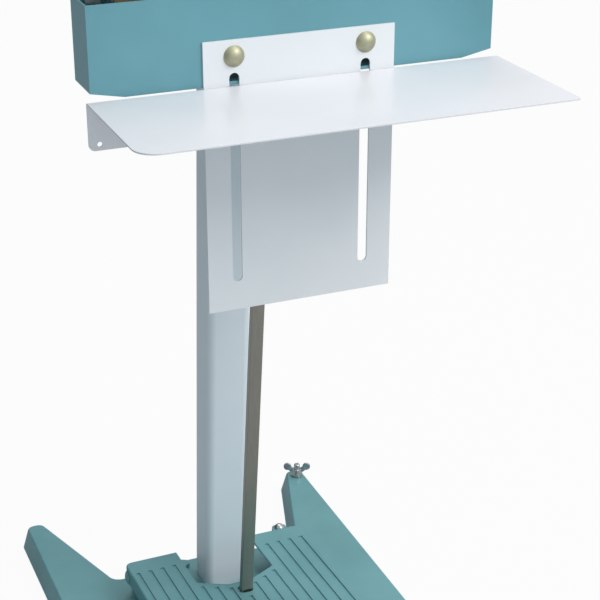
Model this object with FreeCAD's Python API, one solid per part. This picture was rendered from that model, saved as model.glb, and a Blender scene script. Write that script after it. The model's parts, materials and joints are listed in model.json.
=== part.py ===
"""Foot-pedal bag sealer: butterfly base, leaning column, pull bar, sealing head and sliding shelf.

Millimetres. X runs along the jaws and x = 0 is the middle plane, +Y points to the back, +Z up.
While the pieces are made y = 0 is the front of the head, and put() moves them all so that the
origin ends up on the floor below the middle of the whole machine.
"""
import FreeCAD, Part
import math
import os

from FreeCAD import Vector

# Fasteners and clearances
M8 = 4.0
M6 = 3.0
M4 = 2.0
RUNNING = 0.05
BODY_GAP = 0.3
THREAD_GAP = 0.05
BOLT_HOLE_GAP = 0.5

# Overall heights and the leaning structure
FOOT_HEIGHT = 8.0
CASTING_TOP = 34.0
COLUMN_TOP = 736.0
COLUMN_WIDTH = 50.0
COLUMN_DEPTH = 48.0
COLUMN_CORNER = 9.0
COLUMN_WALL = 2.5
COLUMN_LEAN = 0.0815
FLANGE_THICKNESS = 8.0
TOP_PLATE_THICKNESS = 6.0

# Base casting, seen from above at its top face
CASTING_HALF_WIDTH = 192.0
REAR_TIP_Y = 463.0
FRONT_TIP_Y = 20.0
TIP_WIDTH = 19.5
REAR_NOTCH_Y = 303.0
FRONT_NOTCH_Y = 158.0
LEG_FLARE = 0.324
TIP_RADIUS = 9.0
NOTCH_RADIUS = 15.0
CASTING_DRAFT = 7.5
CASTING_WALL = 6.0
CASTING_EDGE = 3.0
BAR_WELL_HALF_WIDTH = 26.0
BAR_WELL_DEPTH = 34.0
FOOT_RADIUS = 12.0

# Pedal and its hinge
PEDAL_HALF_WIDTH = 113.0
PEDAL_REAR_Y = 280.0
PEDAL_TOE_Y = 20.0
PEDAL_TOP = 72.0
PEDAL_LEVEL_Y = 262.0
PEDAL_TILT = 3.5
PEDAL_PLATE = 4.0
PEDAL_SKIRT = 21.0
PEDAL_SKIRT_WALL = 4.0
PEDAL_NOTCH_HALF_WIDTH = 48.0
PEDAL_NOTCH_Y = 201.0
PEDAL_NOTCH_TIP_Y = 178.0
GROOVE_PITCH = 15.0
GROOVE_WIDTH = 4.5
GROOVE_DEPTH = 1.6
GROOVE_REAR_Y = 252.0
HINGE_Y = 268.0
HINGE_Z = 58.0
AXLE_RADIUS = 5.0
LUG_RADIUS = 7.5
LUG_WIDTH = 10.0
STOP_X = 92.0
STOP_Y = 289.0

# Pull bar
BAR_WIDTH = 14.0
BAR_THICKNESS = 8.0
BAR_LEAN = 0.1248
BAR_Y_AT_REFERENCE = 164.1
BAR_REFERENCE_Z = 75.3
LOWER_PIN_Z = 58.0
LINK_PIN_RADIUS = 4.0
EYE_RADIUS = 9.0

# Head
SEAL_HALF_LENGTH = 168.0
HEAD_END_ROOM = 27.5
HEAD_HALF_LENGTH = SEAL_HALF_LENGTH + HEAD_END_ROOM
HEAD_DEPTH = 47.6
HEAD_BOTTOM = COLUMN_TOP + 3.0
SEAL_RISE = 90.0
SEAL_HEIGHT = COLUMN_TOP + SEAL_RISE
HEAD_TOP = SEAL_HEIGHT - 4.5
HEAD_CORNER_LENGTH = 31.0
HEAD_CORNER_HEIGHT = 6.0
SHEET = 1.5
SEAL_BAR_FRONT = 14.0
SEAL_BAR_DEPTH = 26.0
SEAL_GAP = 0.3
JAW_OPENING = 9.0
PIVOT_PIN_RADIUS = 6.0

# Bracket between column and head
BRACKET_HALF_WIDTH = 31.0
BRACKET_SHEET = 3.0
BRACKET_REAR = 225.5
BRACKET_SIDE_TOP = SEAL_HEIGHT - 20.0
PIVOT_INSET = 30.5
PIVOT_Y = BRACKET_REAR - PIVOT_INSET

# Jaw lever and upper jaw
LEVER_HALF_WIDTH = 22.0
LEVER_SHEET = 3.0
LEVER_BOTTOM = SEAL_HEIGHT - 14.0
JAW_FRONT = 12.0
JAW_DEPTH = 30.0
JAW_BOTTOM = SEAL_HEIGHT + 8.0
JAW_HEIGHT = 22.0
JAW_TOP = JAW_BOTTOM + JAW_HEIGHT
JAW_HALF_LENGTH = SEAL_HALF_LENGTH + 24.0
SPRING_Y = 124.0
SPRING_RADIUS = 8.0
SPRING_WIRE = 1.0

# Slotted plate and shelf
PLATE_HALF_WIDTH = 93.0
PLATE_HEIGHT = 260.0
PLATE_TOP = HEAD_BOTTOM + 41.0
PLATE_BOTTOM = PLATE_TOP - PLATE_HEIGHT
PLATE_THICKNESS = 2.0
SLOT_X = 64.0
SLOT_WIDTH = 9.5
SLOT_BOTTOM = PLATE_BOTTOM + 28.5
SLOT_TOP = PLATE_TOP - 30.0
PLATE_BOLT_Z = PLATE_TOP - 15.0
SHELF_HALF_LENGTH = 200.0
SHELF_REACH = 155.0
SHELF_TOP = HEAD_BOTTOM - BODY_GAP
SHELF_CORNER = 20.0
SHELF_RIGHT_CORNER = 3.0
SHELF_BEND = 1.5
SHELF_FLANGE = 44.0
SHELF_HOLE_INSET = 10.0
SHELF_HOLE_RISE = 5.6
SHELF_HOLE_RADIUS = 2.25
SHELF_BOLT_Z = SHELF_TOP - 17.7

# Control box
BOX_HALF_WIDTH = 100.0
BOX_CLEARANCE = 0.5
BOX_REAR = BRACKET_REAR + 119.5
BOX_BOTTOM = COLUMN_TOP - 46.0
PANEL_RISE = 45.0
PANEL_LOW_Z = SEAL_HEIGHT + 14.0
BOX_TOP = PANEL_LOW_Z + PANEL_RISE
PANEL_REAR_Y = BRACKET_REAR + 64.5

COLUMN_FRONT_AT_FLOOR = BRACKET_REAR - BOX_CLEARANCE - COLUMN_DEPTH + COLUMN_LEAN * BOX_BOTTOM
PLATE_BACK = 0.0
PLATE_FRONT = PLATE_BACK - PLATE_THICKNESS
SHELF_BACK = PLATE_FRONT - BODY_GAP
TIP_DRAFT_Y = REAR_TIP_Y + CASTING_DRAFT
MIDDLE_Y = (TIP_DRAFT_Y - SHELF_REACH) / 2.0
X_AXIS = Vector(1, 0, 0)
Y_AXIS = Vector(0, 1, 0)
Z_AXIS = Vector(0, 0, 1)

os.makedirs("parts", exist_ok=True)


def put(name, *shapes):
    """Write one node: its solids, moved so that the origin is below the machine's middle."""
    solids = []
    for shape in shapes:
        moved = shape.copy()
        moved.translate(Vector(0, -MIDDLE_Y, 0))
        solids.extend(moved.Solids)
    node = solids[0] if len(solids) == 1 else Part.makeCompound(solids)
    node.exportStep("parts/" + name + ".step")


def block(x_low, x_high, y_low, y_high, z_low, z_high):
    return Part.makeBox(x_high - x_low, y_high - y_low, z_high - z_low, Vector(x_low, y_low, z_low))


def rod(start, direction, radius, length):
    return Part.makeCylinder(radius, length, Vector(*start), direction)


def rod_x(y, z, radius, x_low, x_high):
    return rod((x_low, y, z), X_AXIS, radius, x_high - x_low)


def rod_z(x, y, radius, z_low, z_high):
    return rod((x, y, z_low), Z_AXIS, radius, z_high - z_low)


def union(first, *others):
    return first.fuse(list(others)).removeSplitter()


def both_sides(shape):
    """The shape and its mirror image across the middle plane."""
    return [shape, shape.mirror(Vector(0, 0, 0), X_AXIS)]


def outline(corners, place):
    """Closed wire through corners (a, b, radius), with place(a, b) giving each point in space."""
    edges = []
    joints = []
    count = len(corners)
    for index in range(count):
        a, b, radius = corners[index]
        corner = Vector(a, b, 0)
        before = Vector(corners[index - 1][0], corners[index - 1][1], 0) - corner
        after = Vector(corners[(index + 1) % count][0], corners[(index + 1) % count][1], 0) - corner
        if radius == 0:
            joints.append((corner, None, corner))
            continue
        before.normalize()
        after.normalize()
        half = before.getAngle(after) / 2.0
        inward = before + after
        inward.normalize()
        reach = radius / math.tan(half)
        middle = corner + inward * (radius / math.sin(half) - radius)
        joints.append((corner + before * reach, middle, corner + after * reach))
    for index in range(count):
        start, middle, end = joints[index]
        onward = joints[(index + 1) % count][0]
        if middle is not None:
            arc = Part.Arc(place(start.x, start.y), place(middle.x, middle.y), place(end.x, end.y))
            edges.append(arc.toShape())
        if (onward - end).Length > 1e-6:
            edges.append(Part.LineSegment(place(end.x, end.y), place(onward.x, onward.y)).toShape())
    return Part.Wire(edges)


def plan(corners, z_low, z_high):
    """Outline seen from above, as a solid between two heights."""
    face = Part.Face(outline(corners, lambda x, y: Vector(x, y, z_low)))
    return face.extrude(Vector(0, 0, z_high - z_low))


def side(corners, x_low, x_high):
    """Outline seen from the side, corners (y, z, radius), as a solid between two x values."""
    face = Part.Face(outline(corners, lambda y, z: Vector(x_low, y, z)))
    return face.extrude(Vector(x_high - x_low, 0, 0))


def grow(corners, distance):
    """Move every edge of an anticlockwise outline outwards; round corners stay concentric."""
    result = []
    count = len(corners)
    for index in range(count):
        a, b, radius = corners[index]
        corner = Vector(a, b, 0)
        along_in = corner - Vector(corners[index - 1][0], corners[index - 1][1], 0)
        along_out = Vector(corners[(index + 1) % count][0], corners[(index + 1) % count][1], 0) - corner
        along_in.normalize()
        along_out.normalize()
        normal_in = Vector(along_in.y, -along_in.x, 0)
        normal_out = Vector(along_out.y, -along_out.x, 0)
        shift = (normal_in + normal_out) * (distance / (1 + normal_in.dot(normal_out)))
        convex = along_in.cross(along_out).z > 0
        new_radius = radius + distance if convex else radius - distance
        moved = corner + shift
        result.append((moved.x, moved.y, max(new_radius, 0) if radius else 0))
    return result


def tapered(lower, upper, z_low, z_high):
    """Solid between two outlines of like corners at two heights."""
    low_wire = outline(lower, lambda x, y: Vector(x, y, z_low))
    high_wire = outline(upper, lambda x, y: Vector(x, y, z_high))
    return Part.makeLoft([low_wire, high_wire], True, True)


def sharp(corners):
    return [(a, b, 0) for a, b, radius in corners]


def hexagon(centre, direction, across_flats, height):
    """Hexagonal prism from a centre point along an axis direction."""
    radius = across_flats / math.sqrt(3)
    points = []
    for step in range(7):
        angle = math.radians(60 * step + 30)
        points.append(Vector(radius * math.cos(angle), radius * math.sin(angle), 0))
    prism = Part.Face(Part.makePolygon(points)).extrude(Vector(0, 0, height))
    prism.Placement = FreeCAD.Placement(Vector(*centre), FreeCAD.Rotation(Z_AXIS, direction))
    return prism


def hex_bolt(seat, direction, radius, length):
    """Hexagon bolt whose head stands off the seat along direction; the shank runs the other way."""
    head_height = radius * 1.3
    head = hexagon(seat, direction, radius * 3.25, head_height)
    start = Vector(*seat) - direction * length
    shank = Part.makeCylinder(radius, length + head_height / 2, start, direction)
    return union(head, shank)


def hex_nut(seat, direction, radius):
    body = hexagon(seat, direction, radius * 3.25, radius * 1.6)
    start = Vector(*seat) - direction
    return body.cut(Part.makeCylinder(radius + THREAD_GAP, radius * 1.6 + 2, start, direction))


def washer(seat, direction, hole, rim, thickness):
    disc = Part.makeCylinder(rim, thickness, Vector(*seat), direction)
    return disc.cut(Part.makeCylinder(hole, thickness * 3, Vector(*seat) - direction * thickness, direction))


def domed_bolt(seat, direction, radius, head_radius, head_height, length):
    """Round-headed bolt: a domed head on the seat and a shank behind it, turned in one piece."""
    ball_radius = (head_radius ** 2 + head_height ** 2) / (2 * head_height)
    half_angle = math.asin(head_radius / ball_radius) / 2
    ball_low = head_height - ball_radius
    rim = Vector(head_radius, 0, 0)
    crown = Vector(ball_radius * math.sin(half_angle), 0, ball_low + ball_radius * math.cos(half_angle))
    peak = Vector(0, 0, head_height)
    tail = Vector(0, 0, -length)
    tail_edge = Vector(radius, 0, -length)
    neck = Vector(radius, 0, 0)
    edges = [Part.Arc(rim, crown, peak).toShape()]
    for start, end in ((peak, tail), (tail, tail_edge), (tail_edge, neck), (neck, rim)):
        edges.append(Part.LineSegment(start, end).toShape())
    bolt = Part.Face(Part.Wire(edges)).revolve(Vector(0, 0, 0), Z_AXIS, 360)
    bolt.Placement = FreeCAD.Placement(Vector(*seat), FreeCAD.Rotation(Z_AXIS, direction))
    return bolt


def column_front(z):
    return COLUMN_FRONT_AT_FLOOR - COLUMN_LEAN * z


def bar_centre(z):
    return BAR_Y_AT_REFERENCE - BAR_LEAN * (z - BAR_REFERENCE_Z)


def turned(shape, y, z, degrees):
    """Turn a shape about a line along X; a positive turn lowers what lies in front."""
    result = shape.copy()
    result.rotate(Vector(0, y, z), X_AXIS, degrees)
    return result


# Base casting and what stands on it
def leg_inner_x(y, notch_y):
    """Inner edge of a leg: the V notches open outwards from the cross-member."""
    start = CASTING_HALF_WIDTH - TIP_WIDTH - LEG_FLARE * (REAR_TIP_Y - REAR_NOTCH_Y)
    return start + LEG_FLARE * abs(y - notch_y)


def casting_corners():
    right = [
        (leg_inner_x(FRONT_NOTCH_Y, FRONT_NOTCH_Y), FRONT_NOTCH_Y, NOTCH_RADIUS),
        (leg_inner_x(FRONT_TIP_Y, FRONT_NOTCH_Y), FRONT_TIP_Y, TIP_RADIUS),
        (CASTING_HALF_WIDTH, FRONT_TIP_Y, TIP_RADIUS),
        (CASTING_HALF_WIDTH, REAR_TIP_Y, TIP_RADIUS),
        (leg_inner_x(REAR_TIP_Y, REAR_NOTCH_Y), REAR_TIP_Y, TIP_RADIUS),
        (leg_inner_x(REAR_NOTCH_Y, REAR_NOTCH_Y), REAR_NOTCH_Y, NOTCH_RADIUS),
    ]
    left = [(-x, y, radius) for x, y, radius in reversed(right)]
    return right + left


FOOT_INSET = FOOT_RADIUS + 3.0
FOOT_X = CASTING_HALF_WIDTH - TIP_WIDTH / 2.0
REAR_FOOT_Y = REAR_TIP_Y - FOOT_INSET
FRONT_FOOT_Y = FRONT_TIP_Y + FOOT_INSET
FLANGE_HALF_WIDTH = 45.0
FLANGE_FRONT = column_front(CASTING_TOP) - 25.0
FLANGE_REAR = REAR_NOTCH_Y - CASTING_EDGE - 1.0
FOOT_BOLT_X = 36.0
FOOT_BOLT_YS = (FLANGE_FRONT + 11.0, FLANGE_REAR - 11.0)
LUG_X = PEDAL_HALF_WIDTH - PEDAL_SKIRT_WALL - 2.7 - LUG_WIDTH
BAR_WELL_REAR = FRONT_NOTCH_Y + BAR_WELL_DEPTH
RIB = 5.0
RIB_X = 107.0
RIB_YS = (FRONT_NOTCH_Y - 48, FRONT_NOTCH_Y + 47, REAR_NOTCH_Y - 50, REAR_NOTCH_Y + 45)
BOSS_RADIUS = 9.0


def base_casting():
    top = casting_corners()
    bottom = grow(top, CASTING_DRAFT)
    casting = tapered(bottom, top, FOOT_HEIGHT, CASTING_TOP)
    rim_edges = [edge for edge in casting.Edges if edge.BoundBox.ZMin > CASTING_TOP - 0.01]
    casting = casting.makeFillet(CASTING_EDGE, rim_edges)
    under_top = grow(sharp(top), -CASTING_WALL)
    under_bottom = grow(sharp(bottom), -CASTING_WALL)
    hollow = tapered(under_bottom, under_top, FOOT_HEIGHT - 1.0, CASTING_TOP - CASTING_WALL)
    leg_end = 2 * FOOT_INSET + 6.0
    reach = block(-250, 250, FRONT_TIP_Y + leg_end, REAR_TIP_Y - leg_end, 0, CASTING_TOP)
    hollow = hollow.common(reach)
    for rib_y in RIB_YS:
        hollow = hollow.cut(block(-250, 250, rib_y, rib_y + RIB, 0, CASTING_TOP))
    for rib_x in (-RIB_X - RIB, RIB_X):
        hollow = hollow.cut(block(rib_x, rib_x + RIB, FRONT_NOTCH_Y, REAR_NOTCH_Y, 0, CASTING_TOP))
    casting = casting.cut(hollow)
    well_wall = block(-BAR_WELL_HALF_WIDTH - CASTING_WALL, BAR_WELL_HALF_WIDTH + CASTING_WALL,
                      FRONT_NOTCH_Y + 1, BAR_WELL_REAR + CASTING_WALL, FOOT_HEIGHT, CASTING_TOP)
    extras = [well_wall]
    for x in (-FOOT_BOLT_X, FOOT_BOLT_X):
        for y in FOOT_BOLT_YS:
            extras.append(rod_z(x, y, BOSS_RADIUS, FOOT_HEIGHT + 2, CASTING_TOP).common(
                block(-250, 250, FRONT_NOTCH_Y, REAR_NOTCH_Y, 0, CASTING_TOP)))
    extras.append(rod_z(STOP_X, STOP_Y, BOSS_RADIUS + 1, FOOT_HEIGHT, CASTING_TOP))
    lug = side([
        (HINGE_Y - LUG_RADIUS - 5, CASTING_TOP - 1, 0),
        (HINGE_Y + LUG_RADIUS, CASTING_TOP - 1, 0),
        (HINGE_Y + LUG_RADIUS, HINGE_Z + LUG_RADIUS, LUG_RADIUS - 0.1),
        (HINGE_Y - LUG_RADIUS, HINGE_Z + LUG_RADIUS, LUG_RADIUS - 0.1),
    ], LUG_X, LUG_X + LUG_WIDTH)
    extras.extend(both_sides(lug))
    casting = union(casting, *extras)
    cuts = [block(-BAR_WELL_HALF_WIDTH, BAR_WELL_HALF_WIDTH, FRONT_NOTCH_Y - 20, BAR_WELL_REAR, 0, 60)]
    cuts.append(rod_x(HINGE_Y, HINGE_Z, AXLE_RADIUS + RUNNING, -150, 150))
    for x in (-FOOT_BOLT_X, FOOT_BOLT_X):
        for y in FOOT_BOLT_YS:
            cuts.append(rod_z(x, y, M8 + THREAD_GAP, FOOT_HEIGHT + 1, CASTING_TOP + 1))
    cuts.append(rod_z(FOOT_X, REAR_FOOT_Y, M8 + THREAD_GAP, 0, CASTING_TOP + 1))
    return casting.cut(cuts)


put("base_casting", base_casting())

foot = Part.makeCone(FOOT_RADIUS - 2, FOOT_RADIUS, 2, Vector(0, 0, 0), Z_AXIS)
foot = union(foot, rod_z(0, 0, FOOT_RADIUS, 2, FOOT_HEIGHT))
plain_feet = []
for x, y in ((-FOOT_X, FRONT_FOOT_Y), (FOOT_X, FRONT_FOOT_Y), (-FOOT_X, REAR_FOOT_Y)):
    plain_feet.append(foot.translated(Vector(x, y, 0)))
put("rubber_feet", *plain_feet)

STUD_BOTTOM = 3.0
STUD_TOP = 52.0
WASHER_THICKNESS = 1.6
level_pad = foot.translated(Vector(FOOT_X, REAR_FOOT_Y, 0))
put("levelling_pad", level_pad.cut(rod_z(FOOT_X, REAR_FOOT_Y, M8 + THREAD_GAP, STUD_BOTTOM, 20)))
stud = rod_z(FOOT_X, REAR_FOOT_Y, M8, STUD_BOTTOM, STUD_TOP)
put("levelling_stud", stud.makeChamfer(0.8, [stud.Edges[0]]))
stud_washer = washer((FOOT_X, REAR_FOOT_Y, CASTING_TOP), Z_AXIS, M8 + 0.2, 8.4, WASHER_THICKNESS)

WING_SPAN = 37.0
WING_NUT_HEIGHT = 9.0
WING_TOP = 18.0
WING_TURN = -112.0


def wing_nut():
    seat = CASTING_TOP + WASHER_THICKNESS + 0.1
    hub = Part.makeCone(7.5, 6.2, WING_NUT_HEIGHT, Vector(FOOT_X, REAR_FOOT_Y, seat), Z_AXIS)
    wing_corners = [
        (4.5, seat + 1.5, 0),
        (WING_SPAN / 2 - 3, seat + 5, 3),
        (WING_SPAN / 2, seat + WING_TOP, 3.5),
        (WING_SPAN / 2 - 8, seat + WING_TOP, 3.5),
        (4.5, seat + WING_NUT_HEIGHT - 1, 0),
    ]
    wing = side(wing_corners, -1.5, 1.5)
    wing.rotate(Vector(0, 0, 0), Z_AXIS, WING_TURN)
    other = wing.copy()
    other.rotate(Vector(0, 0, 0), Z_AXIS, 180)
    move = Vector(FOOT_X, REAR_FOOT_Y, 0)
    nut = union(hub, wing.translated(move), other.translated(move))
    return nut.cut(rod_z(FOOT_X, REAR_FOOT_Y, M8 + RUNNING, seat - 1, seat + 30))


put("wing_nut", wing_nut())

# Column: leaning tube between a foot flange and a top plate
FLANGE_TOP = CASTING_TOP + FLANGE_THICKNESS
foot_flange = plan([
    (-FLANGE_HALF_WIDTH, FLANGE_FRONT, 6), (FLANGE_HALF_WIDTH, FLANGE_FRONT, 6),
    (FLANGE_HALF_WIDTH, FLANGE_REAR, 6), (-FLANGE_HALF_WIDTH, FLANGE_REAR, 6),
], CASTING_TOP, FLANGE_TOP)
foot_bolts = []
for x in (-FOOT_BOLT_X, FOOT_BOLT_X):
    for y in FOOT_BOLT_YS:
        foot_flange = foot_flange.cut(rod_z(x, y, M8 + BOLT_HOLE_GAP, CASTING_TOP - 1, FLANGE_TOP + 1))
        foot_bolts.append(hex_bolt((x, y, FLANGE_TOP), Z_AXIS, M8, 22))
put("column_foot_flange", foot_flange)
put("column_foot_bolts", *foot_bolts)


def column_tube():
    front = column_front(FLANGE_TOP)
    half = COLUMN_WIDTH / 2
    rise = COLUMN_TOP - FLANGE_TOP
    walls = []
    for inset in (0.0, COLUMN_WALL):
        corner = COLUMN_CORNER - inset
        corners = [
            (-half + inset, front + inset, corner), (half - inset, front + inset, corner),
            (half - inset, front + COLUMN_DEPTH - inset, corner),
            (-half + inset, front + COLUMN_DEPTH - inset, corner),
        ]
        face = Part.Face(outline(corners, lambda x, y: Vector(x, y, FLANGE_TOP)))
        walls.append(face.extrude(Vector(0, -COLUMN_LEAN * rise, rise)))
    return walls[0].cut(walls[1])


put("column", column_tube())

PLATE_TOP_Z = COLUMN_TOP + TOP_PLATE_THICKNESS
TOP_PLATE_FRONT = column_front(COLUMN_TOP) - 6.0
TOP_PLATE_REAR = BRACKET_REAR - 1.0
BRACKET_BOLTS = [(x, y) for x in (-16.0, 16.0) for y in (TOP_PLATE_FRONT + 17, TOP_PLATE_REAR - 15)]
top_plate = block(-BRACKET_HALF_WIDTH, BRACKET_HALF_WIDTH, TOP_PLATE_FRONT, TOP_PLATE_REAR,
                  COLUMN_TOP, PLATE_TOP_Z)
for x, y in BRACKET_BOLTS:
    top_plate = top_plate.cut(rod_z(x, y, M8 + THREAD_GAP, COLUMN_TOP - 1, PLATE_TOP_Z + 1))
put("column_top_plate", top_plate)

# Pedal hinge
BUSH_FLANGE = 2.2
SKIRT_INNER = PEDAL_HALF_WIDTH - PEDAL_SKIRT_WALL
AXLE_SEAT = PEDAL_HALF_WIDTH + BODY_GAP
NUT_SEAT = LUG_X - WASHER_THICKNESS
NUT_HEIGHT = 6.0
stub_axle = domed_bolt((AXLE_SEAT, HINGE_Y, HINGE_Z), X_AXIS, AXLE_RADIUS, 8.5, 3.0,
                       AXLE_SEAT - NUT_SEAT + NUT_HEIGHT + 2.0)
put("hinge_axles", *both_sides(stub_axle))
right_washer = washer((NUT_SEAT, HINGE_Y, HINGE_Z), X_AXIS, AXLE_RADIUS + THREAD_GAP, 8.7, WASHER_THICKNESS)
put("plain_washers", stud_washer, *both_sides(right_washer))
right_nut = hexagon((NUT_SEAT, HINGE_Y, HINGE_Z), -X_AXIS, 15.0, NUT_HEIGHT)
right_nut = right_nut.cut(rod_x(HINGE_Y, HINGE_Z, AXLE_RADIUS + THREAD_GAP, LUG_X - 20, LUG_X))
put("hinge_nuts", *both_sides(right_nut))

BUSH_RADIUS = AXLE_RADIUS + 2.0
bush = union(rod_x(HINGE_Y, HINGE_Z, BUSH_RADIUS, SKIRT_INNER, PEDAL_HALF_WIDTH),
             rod_x(HINGE_Y, HINGE_Z, BUSH_RADIUS + 1.5, SKIRT_INNER - BUSH_FLANGE, SKIRT_INNER))
bush = bush.cut(rod_x(HINGE_Y, HINGE_Z, AXLE_RADIUS + RUNNING, SKIRT_INNER - 10, PEDAL_HALF_WIDTH + 10))
put("pedal_bushes", *both_sides(bush))

# Pedal: a ribbed plate with skirts, a notch for the column and a slot for the pull bar
LOWER_PIN_Y = bar_centre(LOWER_PIN_Z)
PEDAL_LUG_IN = BAR_WIDTH / 2 + 3.0
PEDAL_LUG_OUT = PEDAL_LUG_IN + 6.0
PIN_HOLE = LINK_PIN_RADIUS + RUNNING


def pedal():
    half = PEDAL_HALF_WIDTH
    notch = PEDAL_NOTCH_HALF_WIDTH
    rim = [(-half, PEDAL_TOE_Y, 14), (half, PEDAL_TOE_Y, 14), (half, PEDAL_REAR_Y, 8), (-half, PEDAL_REAR_Y, 8)]
    bottom = PEDAL_TOP - PEDAL_SKIRT
    under_plate = PEDAL_TOP - PEDAL_PLATE
    body = plan(rim, bottom, PEDAL_TOP)
    body = body.makeFillet(2.0, [edge for edge in body.Edges if edge.BoundBox.ZMin > PEDAL_TOP - 0.01])
    body = body.cut(plan(grow(rim, -PEDAL_SKIRT_WALL), bottom - 1, under_plate))
    body = body.cut(block(-SKIRT_INNER, SKIRT_INNER, HINGE_Y, PEDAL_REAR_Y + 1, bottom - 1, under_plate - 2))
    ribs = []
    for rib_x in (-80.0, 77.0):
        ribs.append(block(rib_x, rib_x + 3, PEDAL_TOE_Y + 2, 250, under_plate - 9, under_plate + 1))
    for rib_y in (70.0, 130.0):
        ribs.append(block(-half + 2, half - 2, rib_y, rib_y + 3, under_plate - 9, under_plate + 1))
    tail_half = 9.0
    tail_front = PEDAL_REAR_Y - PEDAL_SKIRT_WALL / 2
    tail = plan([(STOP_X - tail_half, tail_front, 0), (STOP_X + tail_half, tail_front, 0),
                 (STOP_X + tail_half, STOP_Y + 8, 7), (STOP_X - tail_half, STOP_Y + 8, 7)],
                under_plate - 4, under_plate)
    body = union(body, tail, *ribs)
    mouth = [
        (-notch, PEDAL_REAR_Y + 30, 0), (-notch, PEDAL_NOTCH_Y, 4), (-6, PEDAL_NOTCH_TIP_Y, 4),
        (6, PEDAL_NOTCH_TIP_Y, 4), (notch, PEDAL_NOTCH_Y, 4), (notch, PEDAL_REAR_Y + 30, 0),
    ]
    cuts = [plan(mouth, bottom - 5, PEDAL_TOP + 5)]
    slot_half = BAR_WIDTH / 2 + 1.6
    slot_rear = LOWER_PIN_Y + 7.5
    slot_front = LOWER_PIN_Y - 9.0
    cuts.append(plan([(-slot_half, slot_front, 6), (slot_half, slot_front, 6),
                      (slot_half, slot_rear, 6), (-slot_half, slot_rear, 6)], bottom, PEDAL_TOP + 5))
    lines = int((half - 6) // GROOVE_PITCH)
    for step in range(-lines, lines + 1):
        x = step * GROOVE_PITCH
        if abs(x) > notch:
            rear = GROOVE_REAR_Y
        elif abs(x) > BAR_WIDTH:
            share = (abs(x) - 6) / (notch - 6)
            rear = PEDAL_NOTCH_TIP_Y - 8 + share * (PEDAL_NOTCH_Y - PEDAL_NOTCH_TIP_Y)
        else:
            rear = slot_front - 8
        cuts.append(block(x - GROOVE_WIDTH / 2, x + GROOVE_WIDTH / 2, PEDAL_TOE_Y + 16, rear,
                          PEDAL_TOP - GROOVE_DEPTH, PEDAL_TOP + 1))
    cuts.append(rod_z(STOP_X, STOP_Y, M8 + THREAD_GAP, 40, 90))
    body = body.cut(cuts)
    body = turned(body, PEDAL_LEVEL_Y, PEDAL_TOP, -PEDAL_TILT)
    plate_rise = (PEDAL_LEVEL_Y - LOWER_PIN_Y) * math.tan(math.radians(PEDAL_TILT))
    lug_top = PEDAL_TOP + plate_rise - PEDAL_PLATE + 0.6
    lug = side([
        (LOWER_PIN_Y - EYE_RADIUS, LOWER_PIN_Z - EYE_RADIUS, EYE_RADIUS - 0.1),
        (LOWER_PIN_Y + EYE_RADIUS, LOWER_PIN_Z - EYE_RADIUS, EYE_RADIUS - 0.1),
        (LOWER_PIN_Y + EYE_RADIUS, lug_top, 0),
        (LOWER_PIN_Y - EYE_RADIUS, lug_top, 0),
    ], PEDAL_LUG_IN, PEDAL_LUG_OUT)
    body = union(body, *both_sides(lug))
    spot_face = rod_x(HINGE_Y, HINGE_Z, BUSH_RADIUS + 2.0, SKIRT_INNER - BUSH_FLANGE - BODY_GAP, SKIRT_INNER)
    body = body.cut(both_sides(spot_face))
    body = body.cut(rod_x(HINGE_Y, HINGE_Z, BUSH_RADIUS + THREAD_GAP, -half - 9, half + 9))
    return body.cut(rod_x(LOWER_PIN_Y, LOWER_PIN_Z, PIN_HOLE, -40, 40))


put("pedal", pedal())

STOP_SEAT = PEDAL_TOP - PEDAL_PLATE
stop_length = STOP_SEAT - CASTING_TOP - 1.9
stop_screw = domed_bolt((STOP_X, STOP_Y, STOP_SEAT), Z_AXIS, M8, 6.5, 5.0, stop_length)
put("pedal_stop_screw", turned(stop_screw, PEDAL_LEVEL_Y, PEDAL_TOP, -PEDAL_TILT))

LOWER_PIN_HALF = PEDAL_LUG_OUT + 3.0
lower_pin = rod_x(LOWER_PIN_Y, LOWER_PIN_Z, LINK_PIN_RADIUS, -LOWER_PIN_HALF, LOWER_PIN_HALF)
lower_clip = washer((PEDAL_LUG_OUT + 0.1, LOWER_PIN_Y, LOWER_PIN_Z), X_AXIS, LINK_PIN_RADIUS, 7.0, 1.2)
put("lower_pin", lower_pin, *both_sides(lower_clip))

# Lever linkage: the upper pin lies on the bar's line when the jaw is open
open_angle = math.radians(JAW_OPENING)
LEVER_ARM = (PIVOT_Y - bar_centre(SEAL_HEIGHT)) / (math.cos(open_angle) - BAR_LEAN * math.sin(open_angle))
UPPER_PIN_Y = PIVOT_Y - LEVER_ARM * math.cos(open_angle)
UPPER_PIN_Z = SEAL_HEIGHT + LEVER_ARM * math.sin(open_angle)
BAR_DROP = UPPER_PIN_Z - SEAL_HEIGHT
pedal_arm = HINGE_Y - LOWER_PIN_Y
PEDAL_TRAVEL = math.degrees(math.asin(BAR_DROP / pedal_arm))
bar_length = UPPER_PIN_Z - LOWER_PIN_Z
low_shift = pedal_arm * (1 - math.cos(math.radians(PEDAL_TRAVEL)))
high_shift = LEVER_ARM * (math.cos(open_angle) - 1)
BAR_TIP = math.degrees((low_shift - high_shift) / bar_length)
print("pedal travel", round(PEDAL_TRAVEL, 3), "jaw ratio", round(JAW_OPENING / PEDAL_TRAVEL, 5),
      "bar ratio", round((BAR_TIP - PEDAL_TRAVEL) / PEDAL_TRAVEL, 5))
print("upper pin", round(UPPER_PIN_Y, 3), round(UPPER_PIN_Z, 3), "lower pin", round(LOWER_PIN_Y, 3),
      "middle", MIDDLE_Y)


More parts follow.
